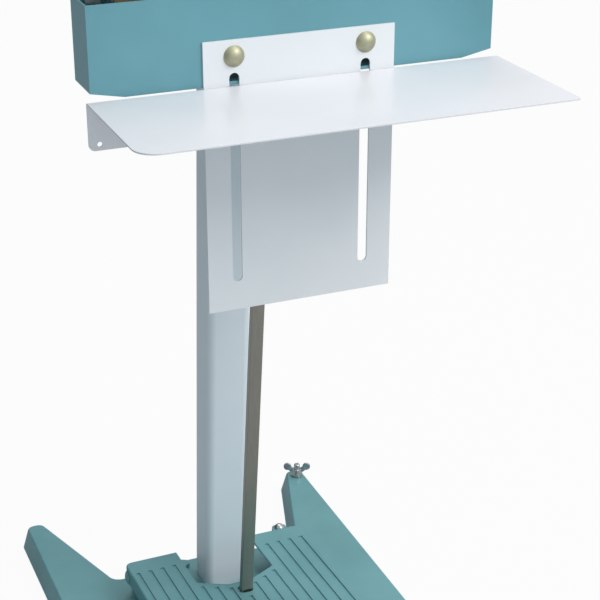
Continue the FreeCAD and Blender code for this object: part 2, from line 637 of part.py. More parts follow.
def pull_bar():
    reach = BAR_THICKNESS / 2
    blade = side([
        (LOWER_PIN_Y - reach, LOWER_PIN_Z, 0), (LOWER_PIN_Y + reach, LOWER_PIN_Z, 0),
        (UPPER_PIN_Y + reach, UPPER_PIN_Z, 0), (UPPER_PIN_Y - reach, UPPER_PIN_Z, 0),
    ], -BAR_WIDTH / 2, BAR_WIDTH / 2)
    low_eye = rod_x(LOWER_PIN_Y, LOWER_PIN_Z, EYE_RADIUS, -BAR_WIDTH / 2, BAR_WIDTH / 2)
    high_eye = rod_x(UPPER_PIN_Y, UPPER_PIN_Z, EYE_RADIUS, -BAR_WIDTH / 2, BAR_WIDTH / 2)
    bar = union(blade, low_eye, high_eye)
    bar = bar.cut(rod_x(LOWER_PIN_Y, LOWER_PIN_Z, PIN_HOLE, -20, 20))
    return bar.cut(rod_x(UPPER_PIN_Y, UPPER_PIN_Z, LINK_PIN_RADIUS + 0.6, -20, 20))


put("pull_bar", pull_bar())


# Head bracket: folded channel from the column's top plate to the back of the head
def head_bracket():
    back = HEAD_DEPTH
    ear_side = [
        (back, PLATE_TOP_Z, 0), (BRACKET_REAR, PLATE_TOP_Z, 0), (BRACKET_REAR, BRACKET_SIDE_TOP, 6),
        (PIVOT_Y + 14, SEAL_HEIGHT + 14, 12), (PIVOT_Y - 14, SEAL_HEIGHT + 14, 12),
        (PIVOT_Y - 32, BRACKET_SIDE_TOP, 8), (back, BRACKET_SIDE_TOP, 0),
    ]
    ear = side(ear_side, BRACKET_HALF_WIDTH - BRACKET_SHEET, BRACKET_HALF_WIDTH)
    inner = BRACKET_HALF_WIDTH - BRACKET_SHEET
    floor = block(-inner - 1, inner + 1, back, BRACKET_REAR, PLATE_TOP_Z, PLATE_TOP_Z + BRACKET_SHEET)
    rear = block(-inner - 1, inner + 1, BRACKET_REAR - BRACKET_SHEET, BRACKET_REAR,
                 PLATE_TOP_Z, BRACKET_SIDE_TOP - 6)
    tab = block(inner, BRACKET_HALF_WIDTH + 22, back, back + BRACKET_SHEET,
                HEAD_BOTTOM + 9, BRACKET_SIDE_TOP - 4)
    bracket = union(floor, rear, *both_sides(ear), *both_sides(tab))
    slot_y = bar_centre(PLATE_TOP_Z)
    cuts = [plan([(-11, slot_y - 12, 5), (11, slot_y - 12, 5), (11, slot_y + 12, 5), (-11, slot_y + 12, 5)],
                 PLATE_TOP_Z - 1, PLATE_TOP_Z + 5)]
    for x, y in BRACKET_BOLTS:
        cuts.append(rod_z(x, y, M8 + BOLT_HOLE_GAP, PLATE_TOP_Z - 1, PLATE_TOP_Z + 5))
    for x in (-HEAD_BOLT_X, HEAD_BOLT_X):
        for z in HEAD_BOLT_ZS:
            cuts.append(rod((x, back - 1, z), Y_AXIS, M6 + BOLT_HOLE_GAP, 10))
    for x in (-BOX_BOLT_X, BOX_BOLT_X):
        for z in BOX_BOLT_ZS:
            cuts.append(rod((x, BRACKET_REAR - 6, z), Y_AXIS, M6 + BOLT_HOLE_GAP, 10))
    cuts.append(rod_x(PIVOT_Y, SEAL_HEIGHT, PIVOT_PIN_RADIUS + RUNNING, -50, 50))
    return bracket.cut(cuts)


HEAD_BOLT_X = 42.0
HEAD_BOLT_ZS = (HEAD_BOTTOM + 21.0, HEAD_BOTTOM + 51.0)
BOX_BOLT_X = 16.0
BOX_BOLT_ZS = (HEAD_BOTTOM + 19.0, HEAD_BOTTOM + 47.0)
BRACKET_FLOOR = PLATE_TOP_Z + BRACKET_SHEET
put("head_bracket", head_bracket())
put("bracket_bolts", *[hex_bolt((x, y, BRACKET_FLOOR), Z_AXIS, M8, 14) for x, y in BRACKET_BOLTS])


# Head: an open-topped sheet channel with the lower jaw inside
def head_profile(inset, top):
    half = HEAD_HALF_LENGTH - inset
    low = HEAD_BOTTOM + inset
    corner_x = half - HEAD_CORNER_LENGTH + inset * 0.8
    return [(-corner_x, low), (corner_x, low), (half, low + HEAD_CORNER_HEIGHT), (half, top),
            (-half, top), (-half, low + HEAD_CORNER_HEIGHT)]


def front_prism(points, y_low, y_high):
    wire = Part.makePolygon([Vector(x, y_low, z) for x, z in points + points[:1]])
    return Part.Face(wire).extrude(Vector(0, y_high - y_low, 0))


def jaw_housing():
    outer = front_prism(head_profile(0.0, HEAD_TOP), 0.0, HEAD_DEPTH)
    inner = front_prism(head_profile(SHEET, HEAD_TOP + 5), SHEET, HEAD_DEPTH - SHEET)
    shell = outer.cut(inner)
    cuts = []
    for x in (-HEAD_BOLT_X, HEAD_BOLT_X):
        for z in HEAD_BOLT_ZS:
            cuts.append(rod((x, HEAD_DEPTH - 4, z), Y_AXIS, M6 + BOLT_HOLE_GAP, 10))
    window_half = SLOT_WIDTH / 2 + 1.0
    for x in (-SLOT_X, SLOT_X):
        cuts.append(rod((x, -5, PLATE_BOLT_Z), Y_AXIS, M8 + BOLT_HOLE_GAP, 10))
        cuts.append(block(x - window_half, x + window_half, -5, 5, HEAD_BOTTOM + 2 * SHEET, SLOT_TOP + 1))
    for x in RAIL_SCREW_XS:
        cuts.append(rod_z(x, SEAL_MIDDLE, M6 + BOLT_HOLE_GAP, HEAD_BOTTOM - 1, HEAD_BOTTOM + 5))
    return shell.cut(cuts)


RAIL_SCREW_XS = (-120.0, 120.0)
SEAL_MIDDLE = SEAL_BAR_FRONT + SEAL_BAR_DEPTH / 2
put("jaw_housing", jaw_housing())
head_bolts = []
for x in (-HEAD_BOLT_X, HEAD_BOLT_X):
    for z in HEAD_BOLT_ZS:
        bolt = hex_bolt((x, HEAD_DEPTH + BRACKET_SHEET, z), Y_AXIS, M6, BRACKET_SHEET + SHEET + 5.2)
        nut = hex_nut((x, HEAD_DEPTH - SHEET, z), -Y_AXIS, M6)
        head_bolts.extend([bolt, nut])
head_bolts.extend([hex_bolt((x, SEAL_MIDDLE, HEAD_BOTTOM), -Z_AXIS, M6, 8) for x in RAIL_SCREW_XS])
put("head_bolts", *head_bolts)

RAIL_SHEET = 2.0
STRIP_TOP = SEAL_HEIGHT - 14.0
RAIL_TOP = STRIP_TOP - 12.0
TAPE = 0.3
RIBBON = 0.3
RIBBON_WIDTH = 5.0
BAR_TOP = SEAL_HEIGHT - SEAL_GAP / 2 - TAPE - RIBBON
seal_back = SEAL_BAR_FRONT + SEAL_BAR_DEPTH
rail_bottom = HEAD_BOTTOM + SHEET
rail = block(-SEAL_HALF_LENGTH, SEAL_HALF_LENGTH, SEAL_BAR_FRONT, seal_back, rail_bottom, RAIL_TOP)
rail = rail.cut(block(-250, 250, SEAL_BAR_FRONT + RAIL_SHEET, seal_back - RAIL_SHEET,
                      rail_bottom + RAIL_SHEET, RAIL_TOP - RAIL_SHEET))
for x in RAIL_SCREW_XS:
    rail = rail.cut(rod_z(x, SEAL_MIDDLE, M6 + THREAD_GAP, rail_bottom - 1, rail_bottom + 5))
put("jaw_rail", rail.common(front_prism(head_profile(SHEET, RAIL_TOP), 0, HEAD_DEPTH)))
put("insulating_strip", block(-SEAL_HALF_LENGTH, SEAL_HALF_LENGTH, SEAL_BAR_FRONT, seal_back,
                              RAIL_TOP, STRIP_TOP))
seal_bar = block(-SEAL_HALF_LENGTH, SEAL_HALF_LENGTH, SEAL_BAR_FRONT + 1, seal_back - 1, STRIP_TOP, BAR_TOP)
seal_bar = seal_bar.makeFillet(1.5, [edge for edge in seal_bar.Edges
                                     if edge.BoundBox.ZMin > BAR_TOP - 0.01 and edge.Length > 100])
put("seal_bar", seal_bar)

CLAMP_IN = SEAL_HALF_LENGTH + 8.0
CLAMP_OUT = CLAMP_IN + 14.0
ribbon_end = CLAMP_OUT - 2
put("heating_ribbon", block(-ribbon_end, ribbon_end, SEAL_MIDDLE - RIBBON_WIDTH / 2,
                            SEAL_MIDDLE + RIBBON_WIDTH / 2, BAR_TOP, BAR_TOP + RIBBON))
tape_half = SEAL_HALF_LENGTH - 2
tape_low = RAIL_TOP - 8.0
tape = block(-tape_half, tape_half, SEAL_BAR_FRONT - TAPE, seal_back + TAPE, tape_low, BAR_TOP + RIBBON + TAPE)
tape = tape.cut(block(-tape_half - 1, tape_half + 1, SEAL_BAR_FRONT, seal_back, tape_low - 1, BAR_TOP + RIBBON))
put("ptfe_cover", tape)


def element_clamp():
    """End clamp of the heating ribbon: a post on the housing floor with a cap screw on top."""
    low = HEAD_BOTTOM + HEAD_CORNER_HEIGHT + SHEET
    post = block(CLAMP_IN, CLAMP_OUT, SEAL_MIDDLE - 7, SEAL_MIDDLE + 7, low, BAR_TOP)
    post = post.cut(block(CLAMP_IN + 3, CLAMP_OUT + 1, SEAL_MIDDLE - 8, SEAL_MIDDLE + 8, low + 6, BAR_TOP - 8))
    return post.common(front_prism(head_profile(SHEET, BAR_TOP), 0, HEAD_DEPTH))


clamp_x = (CLAMP_IN + CLAMP_OUT) / 2
screw_seat = BAR_TOP + RIBBON + 1.5
cap = block(CLAMP_IN, CLAMP_OUT, SEAL_MIDDLE - 7, SEAL_MIDDLE + 7, BAR_TOP + RIBBON, screw_seat)
put("element_clamps", *both_sides(element_clamp()), *both_sides(cap))
clamp_screws = []
for offset in (-4.8, 4.8):
    clamp_screws.extend(both_sides(rod_z(clamp_x, SEAL_MIDDLE + offset, 2.0, screw_seat, screw_seat + 1.6)))
put("clamp_screws", *clamp_screws)

# Slotted plate on the head, and the shelf that slides on it
slotted_plate = block(-PLATE_HALF_WIDTH, PLATE_HALF_WIDTH, PLATE_FRONT, PLATE_BACK, PLATE_BOTTOM, PLATE_TOP)
slot_half = SLOT_WIDTH / 2
slot_shape = union(
    block(SLOT_X - slot_half, SLOT_X + slot_half, -10, 10, SLOT_BOTTOM + slot_half, SLOT_TOP - slot_half),
    rod((SLOT_X, -10, SLOT_BOTTOM + slot_half), Y_AXIS, slot_half, 20),
    rod((SLOT_X, -10, SLOT_TOP - slot_half), Y_AXIS, slot_half, 20))
slotted_plate = slotted_plate.cut(both_sides(slot_shape))
slotted_plate = slotted_plate.cut(both_sides(rod((SLOT_X, -10, PLATE_BOLT_Z), Y_AXIS, M8 + BOLT_HOLE_GAP, 20)))
put("slotted_plate", slotted_plate)
plate_bolt = domed_bolt((SLOT_X, PLATE_FRONT, PLATE_BOLT_Z), -Y_AXIS, M8, 10.0, 6.0,
                        PLATE_THICKNESS + SHEET + 8)
plate_nut = hex_nut((SLOT_X, SHEET, PLATE_BOLT_Z), Y_AXIS, M8)
put("plate_bolts", *both_sides(plate_bolt), *both_sides(plate_nut))


def shelf():
    half = SHELF_HALF_LENGTH
    low = SHELF_TOP - SHELF_FLANGE
    sheet = side([(-SHELF_REACH, SHELF_TOP - SHEET, 0), (SHELF_BACK - SHEET, SHELF_TOP - SHEET, SHELF_BEND),
                  (SHELF_BACK - SHEET, low, 0), (SHELF_BACK, low, 0),
                  (SHELF_BACK, SHELF_TOP, SHELF_BEND + SHEET), (-SHELF_REACH, SHELF_TOP, 0)], -half, half)
    rounded = plan([(-half, -SHELF_REACH, SHELF_CORNER), (half, -SHELF_REACH, SHELF_RIGHT_CORNER),
                    (half, SHELF_BACK + 1, 0), (-half, SHELF_BACK + 1, 0)], low - 1, SHELF_TOP + 1)
    sheet = sheet.common(rounded)
    hole_z = SHELF_TOP - SHELF_FLANGE + SHELF_HOLE_RISE
    corner_hole = rod((half - SHELF_HOLE_INSET, SHELF_BACK - 5, hole_z), Y_AXIS, SHELF_HOLE_RADIUS, 10)
    bolt_hole = rod((SLOT_X, SHELF_BACK - 5, SHELF_BOLT_Z), Y_AXIS, M8 + BOLT_HOLE_GAP, 10)
    return sheet.cut(both_sides(corner_hole) + both_sides(bolt_hole))


put("shelf", shelf())
shelf_bolt = domed_bolt((SLOT_X, SHELF_BACK - SHEET, SHELF_BOLT_Z), -Y_AXIS, M8, 8.0, 4.5,
                        SHEET + PLATE_THICKNESS + 2 * BODY_GAP + 9)
put("shelf_clamp_bolts", *both_sides(shelf_bolt))
shelf_washer = washer((SLOT_X, PLATE_BACK + BODY_GAP, SHELF_BOLT_Z), Y_AXIS, M8 + THREAD_GAP, 8.5, 1.6)
shelf_nut = hex_nut((SLOT_X, PLATE_BACK + BODY_GAP + 1.6, SHELF_BOLT_Z), Y_AXIS, M8)
put("shelf_clamp_nuts", *both_sides(shelf_nut), *both_sides(shelf_washer))


# Jaw lever and upper jaw, drawn closed and then swung open about the pivot
def opened(shape):
    return turned(shape, PIVOT_Y, SEAL_HEIGHT, -JAW_OPENING)


CLOSED_PIN_Y = PIVOT_Y - LEVER_ARM
LEVER_FRONT = JAW_FRONT - 4.0
LEVER_WEB_Y = HEAD_DEPTH + BRACKET_SHEET
EYE_HEIGHT = SEAL_HEIGHT + 16.0


def jaw_lever():
    outer = [
        (LEVER_FRONT, JAW_TOP, 0), (LEVER_WEB_Y, JAW_TOP, 4), (LEVER_WEB_Y + 2, LEVER_BOTTOM, 4),
        (PIVOT_Y + 14, LEVER_BOTTOM, 13), (PIVOT_Y + 14, EYE_HEIGHT, 13), (PIVOT_Y - 45, JAW_TOP + 10, 20),
        (LEVER_FRONT + 52, JAW_TOP + 20, 10), (LEVER_FRONT, JAW_TOP + 16, 4),
    ]
    web = LEVER_SHEET
    inner = [
        (LEVER_FRONT + web, JAW_TOP + web, 0), (LEVER_WEB_Y + web, JAW_TOP + web, 0),
        (LEVER_WEB_Y + web + 2, LEVER_BOTTOM - 9, 0), (PIVOT_Y + 30, LEVER_BOTTOM - 9, 0),
        (PIVOT_Y + 30, EYE_HEIGHT - 8, 0), (PIVOT_Y + 12, EYE_HEIGHT - web, 0),
        (PIVOT_Y - 45, JAW_TOP + 10 - web, 18), (LEVER_FRONT + 52, JAW_TOP + 20 - web, 8),
        (LEVER_FRONT + web, JAW_TOP + 16 - web, 0),
    ]
    half = LEVER_HALF_WIDTH
    lever = side(outer, -half, half).cut(side(inner, -half + web, half - web))
    seat = block(-half + web, half - web, SPRING_Y - 14, SPRING_Y + 14, LEVER_BOTTOM, LEVER_BOTTOM + web)
    lever = union(lever, seat)
    cuts = [rod_x(PIVOT_Y, SEAL_HEIGHT, PIVOT_PIN_RADIUS + 2 + THREAD_GAP, -40, 40)]
    cuts.append(rod_x(CLOSED_PIN_Y, SEAL_HEIGHT, LINK_PIN_RADIUS + THREAD_GAP, -40, 40))
    for x in (-JAW_BOLT_X, JAW_BOLT_X):
        cuts.append(rod_z(x, JAW_MIDDLE, M6 + BOLT_HOLE_GAP, JAW_TOP - 1, JAW_TOP + 5))
    return opened(lever.cut(cuts))


JAW_MIDDLE = JAW_FRONT + JAW_DEPTH / 2
JAW_BOLT_X = 12.0
put("jaw_lever", jaw_lever())

EAR_INNER = BRACKET_HALF_WIDTH - BRACKET_SHEET
lever_bush = union(
    rod_x(PIVOT_Y, SEAL_HEIGHT, PIVOT_PIN_RADIUS + 2, LEVER_HALF_WIDTH - LEVER_SHEET, LEVER_HALF_WIDTH),
    rod_x(PIVOT_Y, SEAL_HEIGHT, PIVOT_PIN_RADIUS + 4, LEVER_HALF_WIDTH, EAR_INNER - BODY_GAP))
lever_bush = lever_bush.cut(rod_x(PIVOT_Y, SEAL_HEIGHT, PIVOT_PIN_RADIUS + RUNNING, 0, 60))
put("lever_bushes", *both_sides(lever_bush))
pivot_half = BRACKET_HALF_WIDTH + 4.0
put("jaw_pivot_pin", rod_x(PIVOT_Y, SEAL_HEIGHT, PIVOT_PIN_RADIUS, -pivot_half, pivot_half))
pivot_clip = washer((BRACKET_HALF_WIDTH + 0.1, PIVOT_Y, SEAL_HEIGHT), X_AXIS, PIVOT_PIN_RADIUS, 9.5, 1.4)
put("pivot_clips", *both_sides(pivot_clip))
upper_pin_half = LEVER_HALF_WIDTH + 3.0
upper_pin = rod_x(CLOSED_PIN_Y, SEAL_HEIGHT, LINK_PIN_RADIUS, -upper_pin_half, upper_pin_half)
upper_clip = washer((LEVER_HALF_WIDTH + 0.1, CLOSED_PIN_Y, SEAL_HEIGHT), X_AXIS, LINK_PIN_RADIUS, 7.0, 1.2)
put("upper_pin", opened(upper_pin), *both_sides(opened(upper_clip)))

JAW_SHEET = 2.0
jaw_back = JAW_FRONT + JAW_DEPTH
jaw = block(-JAW_HALF_LENGTH, JAW_HALF_LENGTH, JAW_FRONT, jaw_back, JAW_BOTTOM, JAW_TOP)
jaw = jaw.makeFillet(4.0, [edge for edge in jaw.Edges
                           if edge.BoundBox.ZMin > JAW_TOP - 0.01 and edge.Length > 100])
jaw = jaw.cut(block(-JAW_HALF_LENGTH + JAW_SHEET, JAW_HALF_LENGTH - JAW_SHEET, JAW_FRONT + JAW_SHEET,
                    jaw_back - JAW_SHEET, JAW_BOTTOM - 1, JAW_TOP - JAW_SHEET - 2))
for x in (-JAW_BOLT_X, JAW_BOLT_X):
    jaw = jaw.cut(rod_z(x, JAW_MIDDLE, M6 + BOLT_HOLE_GAP, JAW_TOP - 10, JAW_TOP + 5))
put("upper_jaw", opened(jaw))
HOLDER_BOTTOM = JAW_BOTTOM - 2.0
holder_top = JAW_TOP - JAW_SHEET - 2
holder = block(-JAW_HALF_LENGTH + 6, JAW_HALF_LENGTH - 6, JAW_FRONT + JAW_SHEET + 0.1,
               jaw_back - JAW_SHEET - 0.1, HOLDER_BOTTOM, holder_top)
for x in (-JAW_BOLT_X, JAW_BOLT_X):
    holder = holder.cut(rod_z(x, JAW_MIDDLE, M6 + THREAD_GAP, JAW_TOP - 18, JAW_TOP + 5))
put("silicone_holder", opened(holder))
silicone = block(-SEAL_HALF_LENGTH - 2, SEAL_HALF_LENGTH + 2, SEAL_MIDDLE - 8, SEAL_MIDDLE + 8,
                 SEAL_HEIGHT + SEAL_GAP / 2, HOLDER_BOTTOM)
silicone = silicone.makeFillet(2.0, [edge for edge in silicone.Edges
                                     if edge.BoundBox.ZMax < SEAL_HEIGHT + 1 and edge.Length > 100])
put("silicone_strip", opened(silicone))
jaw_bolts = []
for x in (-JAW_BOLT_X, JAW_BOLT_X):
    jaw_bolts.append(opened(hex_bolt((x, JAW_MIDDLE, JAW_TOP + LEVER_SHEET), Z_AXIS, M6, 16)))
put("jaw_mount_bolts", *jaw_bolts)

# Return spring between the bracket floor and the lever's seat
guide = union(rod_z(0, SPRING_Y, 5.0, BRACKET_FLOOR, BRACKET_FLOOR + 22),
              rod_z(0, SPRING_Y, 13.0, BRACKET_FLOOR, BRACKET_FLOOR + 2))
put("spring_guide", guide)
SPRING_LOW = BRACKET_FLOOR + 2.3 + SPRING_WIRE
lever_seat = opened(rod_z(0, SPRING_Y, SPRING_RADIUS + SPRING_WIRE, LEVER_BOTTOM - 1, LEVER_BOTTOM))
SPRING_HIGH = lever_seat.BoundBox.ZMin - BODY_GAP - SPRING_WIRE
spring_turns = 7
helix = Part.makeHelix((SPRING_HIGH - SPRING_LOW) / spring_turns, SPRING_HIGH - SPRING_LOW, SPRING_RADIUS)
helix.translate(Vector(0, SPRING_Y, SPRING_LOW))
wire_section = Part.Wire(Part.makeCircle(SPRING_WIRE, Vector(SPRING_RADIUS, SPRING_Y, SPRING_LOW), Y_AXIS))
spring = Part.Wire(helix.Edges).makePipeShell([wire_section], True, True)
put("return_spring", spring)

# Micro switch on the bracket's left side, worked by the lever as it closes
SWITCH_TOP = LEVER_BOTTOM - 8.0
SWITCH_Y = 150.0
SWITCH_LOW = SWITCH_TOP - 17.0
PLUNGER_X = -LEVER_HALF_WIDTH + LEVER_SHEET / 2
PLUNGER_TRAVEL = 1.5
PLUNGER_TOP = LEVER_BOTTOM - BODY_GAP + PLUNGER_TRAVEL
plunger_hole = rod_z(PLUNGER_X, SWITCH_Y, 2.0 + RUNNING, SWITCH_TOP - 8, SWITCH_TOP + 3)
switch_body = block(-EAR_INNER, -EAR_INNER + 11, SWITCH_Y - 12, SWITCH_Y + 16, SWITCH_LOW, SWITCH_TOP)
put("micro_switch", switch_body.cut(plunger_hole))
plunger = union(rod_z(PLUNGER_X, SWITCH_Y, 2.0, SWITCH_TOP - 5, PLUNGER_TOP - 1),
                rod_z(PLUNGER_X, SWITCH_Y, 3.2, PLUNGER_TOP - 3, PLUNGER_TOP))
put("switch_plunger", plunger)


# Control box behind the head: a folded shell with a sloping panel
def box_profile(inset):
    front = BRACKET_REAR + inset
    slope = math.atan2(BOX_TOP - PANEL_LOW_Z, PANEL_REAR_Y - BRACKET_REAR)
    drop = inset / math.cos(slope)
    top = BOX_TOP - inset
    low_corner = PANEL_LOW_Z - drop + inset * math.tan(slope)
    high_corner_y = PANEL_REAR_Y + (drop - inset) / math.tan(slope)
    return [(front, BOX_BOTTOM + inset, 0), (BOX_REAR - inset, BOX_BOTTOM + inset, 0),
            (BOX_REAR - inset, top, 0), (high_corner_y, top, 0), (front, low_corner, 0)]


PANEL_SLOPE = math.degrees(math.atan2(BOX_TOP - PANEL_LOW_Z, PANEL_REAR_Y - BRACKET_REAR))
PANEL_Y = (BRACKET_REAR + PANEL_REAR_Y) / 2
PANEL_Z = (PANEL_LOW_Z + BOX_TOP) / 2


def on_panel(shape):
    """Stand a shape, made about the origin with +Z outwards, on the middle of the sloping panel."""
    result = shape.copy()
    result.rotate(Vector(0, 0, 0), X_AXIS, PANEL_SLOPE)
    result.translate(Vector(0, PANEL_Y, PANEL_Z))
    return result


DIAL_X = 42.0
ROCKER_X = -25.0
LAMP_X = -66.0
SHAFT_RADIUS = 3.0
GLAND_X = 40.0 - BOX_HALF_WIDTH
FUSE_X = GLAND_X + 38.0
REAR_FITTING_Z = BOX_BOTTOM + 25.0
COVER_SCREW_INSET = 10.0
COVER_SCREW_X = BOX_HALF_WIDTH - COVER_SCREW_INSET
COVER_SCREWS = [(x, z) for x in (-COVER_SCREW_X, COVER_SCREW_X)
                for z in (BOX_BOTTOM + COVER_SCREW_INSET, BOX_TOP - COVER_SCREW_INSET)]


def control_box():
    outer = side(box_profile(0.0), -BOX_HALF_WIDTH, BOX_HALF_WIDTH)
    inner = side(box_profile(SHEET), -BOX_HALF_WIDTH + SHEET, BOX_HALF_WIDTH - SHEET)
    shell = outer.cut(inner)
    rear_mouth = block(-BOX_HALF_WIDTH + SHEET, BOX_HALF_WIDTH - SHEET, BOX_REAR - 5, BOX_REAR + 5,
                       BOX_BOTTOM + SHEET, BOX_TOP - SHEET)
    shell = shell.cut(rear_mouth)
    ears = []
    reach = COVER_SCREW_INSET - SHEET / 2
    for x, z in COVER_SCREWS:
        ear = block(x - reach, x + reach, BOX_REAR - 2 * SHEET, BOX_REAR - SHEET, z - reach, z + reach)
        ears.append(ear.common(outer).cut(rod((x, BOX_REAR - 10, z), Y_AXIS, M4 + THREAD_GAP, 20)))
    shell = union(shell, *ears)
    cuts = [on_panel(rod_z(DIAL_X, 0, SHAFT_RADIUS + 1.5, -5, 5)),
            on_panel(block(ROCKER_X - 12, ROCKER_X + 12, -9, 9, -5, 5)),
            on_panel(rod_z(LAMP_X, 0, 5.2, -5, 5))]
    for x in (-BOX_BOLT_X, BOX_BOLT_X):
        for z in BOX_BOLT_ZS:
            cuts.append(rod((x, BRACKET_REAR - 5, z), Y_AXIS, M6 + BOLT_HOLE_GAP, 10))
    return shell.cut(cuts)


put("control_box_shell", control_box())
cover = block(-BOX_HALF_WIDTH + SHEET + 0.2, BOX_HALF_WIDTH - SHEET - 0.2, BOX_REAR - SHEET, BOX_REAR,
              BOX_BOTTOM + SHEET + 0.2, BOX_TOP - SHEET - 0.2)
cover_cuts = [rod((x, BOX_REAR - 5, z), Y_AXIS, M4 + BOLT_HOLE_GAP, 10) for x, z in COVER_SCREWS]
cover_cuts.append(rod((GLAND_X, BOX_REAR - 5, REAR_FITTING_Z), Y_AXIS, 8.0 + THREAD_GAP, 10))
cover_cuts.append(rod((FUSE_X, BOX_REAR - 5, REAR_FITTING_Z), Y_AXIS, 6.0 + THREAD_GAP, 10))
for row in range(6):
    for x in (25.0, 62.0):
        z = BOX_TOP - 85.0 + 8.0 * row
        cover_cuts.append(block(x - 14, x + 14, BOX_REAR - 5, BOX_REAR + 5, z, z + 3))
put("control_box_cover", cover.cut(cover_cuts))
cover_screws = [domed_bolt((x, BOX_REAR, z), Y_AXIS, M4, 3.8, 2.4, 8) for x, z in COVER_SCREWS]
put("cover_screws", *cover_screws)
box_bolts = []
for x in (-BOX_BOLT_X, BOX_BOLT_X):
    for z in BOX_BOLT_ZS:
        box_bolts.append(hex_bolt((x, BRACKET_REAR - BRACKET_SHEET, z), -Y_AXIS, M6, 11))
        box_bolts.append(hex_nut((x, BRACKET_REAR + SHEET, z), Y_AXIS, M6))
put("box_bolts", *box_bolts)

# Dial, rocker switch and lamp on the sloping panel
DIAL_RADIUS = 18.0
DIAL_HEIGHT = 14.0
skirt_ring = rod_z(DIAL_X, 0, DIAL_RADIUS, 0.4, 3.4)
grip = Part.makeCone(13.5, 12.0, DIAL_HEIGHT - 3.4, Vector(DIAL_X, 0, 3.4), Z_AXIS)
dial = union(skirt_ring, grip)
for step in range(16):
    angle = math.radians(360.0 / 16 * step)
    flute = rod_z(DIAL_X + 14.2 * math.cos(angle), 14.2 * math.sin(angle), 1.9, 3.4, DIAL_HEIGHT + 1)
    dial = dial.cut(flute)
dial = union(dial, rod_z(DIAL_X, 0, SHAFT_RADIUS, -8.0, 1.0))
put("timer_dial", on_panel(dial))
pot = rod_z(DIAL_X, 0, 12.0, -14.0, -SHEET).cut(rod_z(DIAL_X, 0, SHAFT_RADIUS + RUNNING, -9, 0))
put("timer_potentiometer", on_panel(pot))

frame_outer = block(ROCKER_X - 15, ROCKER_X + 15, -12, 12, 0, 2)
frame_body = block(ROCKER_X - 11.9, ROCKER_X + 11.9, -8.9, 8.9, -14, 0)
frame_hole = block(ROCKER_X - 10.4, ROCKER_X + 10.4, -7.8, 7.8, -9, 5)
TRUNNION_RADIUS = 1.2
trunnion_seat = rod_x(0, 0, TRUNNION_RADIUS + RUNNING, ROCKER_X - 11.5, ROCKER_X + 11.5)
put("switch_frame", on_panel(union(frame_outer, frame_body).cut([frame_hole, trunnion_seat])))
rocker_side = [(-6.3, -3, 0), (6.3, -3, 0), (6.3, 2.2, 0.6), (0.0, 1.4, 0), (-6.3, 4.4, 0.6)]
rocker_face = side(rocker_side, ROCKER_X - 10, ROCKER_X + 10)
trunnion = rod_x(0, 0, TRUNNION_RADIUS, ROCKER_X - 11.2, ROCKER_X + 11.2)
put("power_rocker", on_panel(union(rocker_face, trunnion)))
lamp = union(rod_z(LAMP_X, 0, 5.0, -12, 0), rod_z(LAMP_X, 0, 7.0, 0, 1.5), rod_z(LAMP_X, 0, 5.2, 1.5, 4))
put("pilot_lamp", on_panel(lamp))

# Gland and fuse holder on the back cover
gland = union(rod((GLAND_X, BOX_REAR - 8, REAR_FITTING_Z), Y_AXIS, 8.0, 14),
              hexagon((GLAND_X, BOX_REAR, REAR_FITTING_Z), Y_AXIS, 22.0, 5.0),
              Part.makeCone(9.5, 7.0, 9, Vector(GLAND_X, BOX_REAR + 5, REAR_FITTING_Z), Y_AXIS))
put("cord_gland", gland.cut(rod((GLAND_X, BOX_REAR - 20, REAR_FITTING_Z), Y_AXIS, 3.8, 60)))
fuse = union(rod((FUSE_X, BOX_REAR - 28, REAR_FITTING_Z), Y_AXIS, 6.0, 34),
             rod((FUSE_X, BOX_REAR, REAR_FITTING_Z), Y_AXIS, 8.5, 2.5),
             rod((FUSE_X, BOX_REAR, REAR_FITTING_Z), Y_AXIS, 6.8, 9))
put("fuse_holder", fuse)

# Transformer and timer board inside the box
CORE_X = -10.0
CORE_Y = BRACKET_REAR + 56.5
CORE_HALF_HEIGHT = 35.0
CORE_Z = BOX_BOTTOM + SHEET + CORE_HALF_HEIGHT
core = block(CORE_X - 42, CORE_X + 42, CORE_Y - 22, CORE_Y + 22, CORE_Z - 35, CORE_Z + 35)
for sign in (-1, 1):
    window_x = CORE_X + sign * 21
    core = core.cut(block(window_x - 7, window_x + 7, CORE_Y - 30, CORE_Y + 30, CORE_Z - 21, CORE_Z + 21))
put("transformer_core", core)
coil = block(CORE_X - 27.8, CORE_X + 27.8, CORE_Y - 34, CORE_Y + 34, CORE_Z - 20.8, CORE_Z + 20.8)
coil = coil.makeFillet(5.0, [edge for edge in coil.Edges if edge.BoundBox.ZLength > 30])
coil = coil.cut(block(CORE_X - 14.2, CORE_X + 14.2, CORE_Y - 22.2, CORE_Y + 22.2, CORE_Z - 30, CORE_Z + 30))
put("transformer_coil", coil)
BOARD_X = BOX_HALF_WIDTH - 31.0
BOARD_Y = BRACKET_REAR + 59.5
BOARD_WIDTH = 48.0
BOARD_LENGTH = 80.0
BOARD_LOW = BOX_BOTTOM + SHEET + 8.0
BOARD_TOP = BOARD_LOW + 1.6
board_parts = [
    block(BOARD_X - BOARD_WIDTH / 2, BOARD_X + BOARD_WIDTH / 2,
          BOARD_Y - BOARD_LENGTH / 2, BOARD_Y + BOARD_LENGTH / 2, BOARD_LOW, BOARD_TOP),
    block(BOARD_X - 17, BOARD_X + 1, BOARD_Y - 30, BOARD_Y - 10, BOARD_TOP, BOARD_TOP + 15),
    block(BOARD_X - 19, BOARD_X + 19, BOARD_Y + 20, BOARD_Y + 33, BOARD_TOP, BOARD_TOP + 10),
    rod_z(BOARD_X + 11, BOARD_Y - 20, 6, BOARD_TOP - 0.6, BOARD_TOP + 16),
]
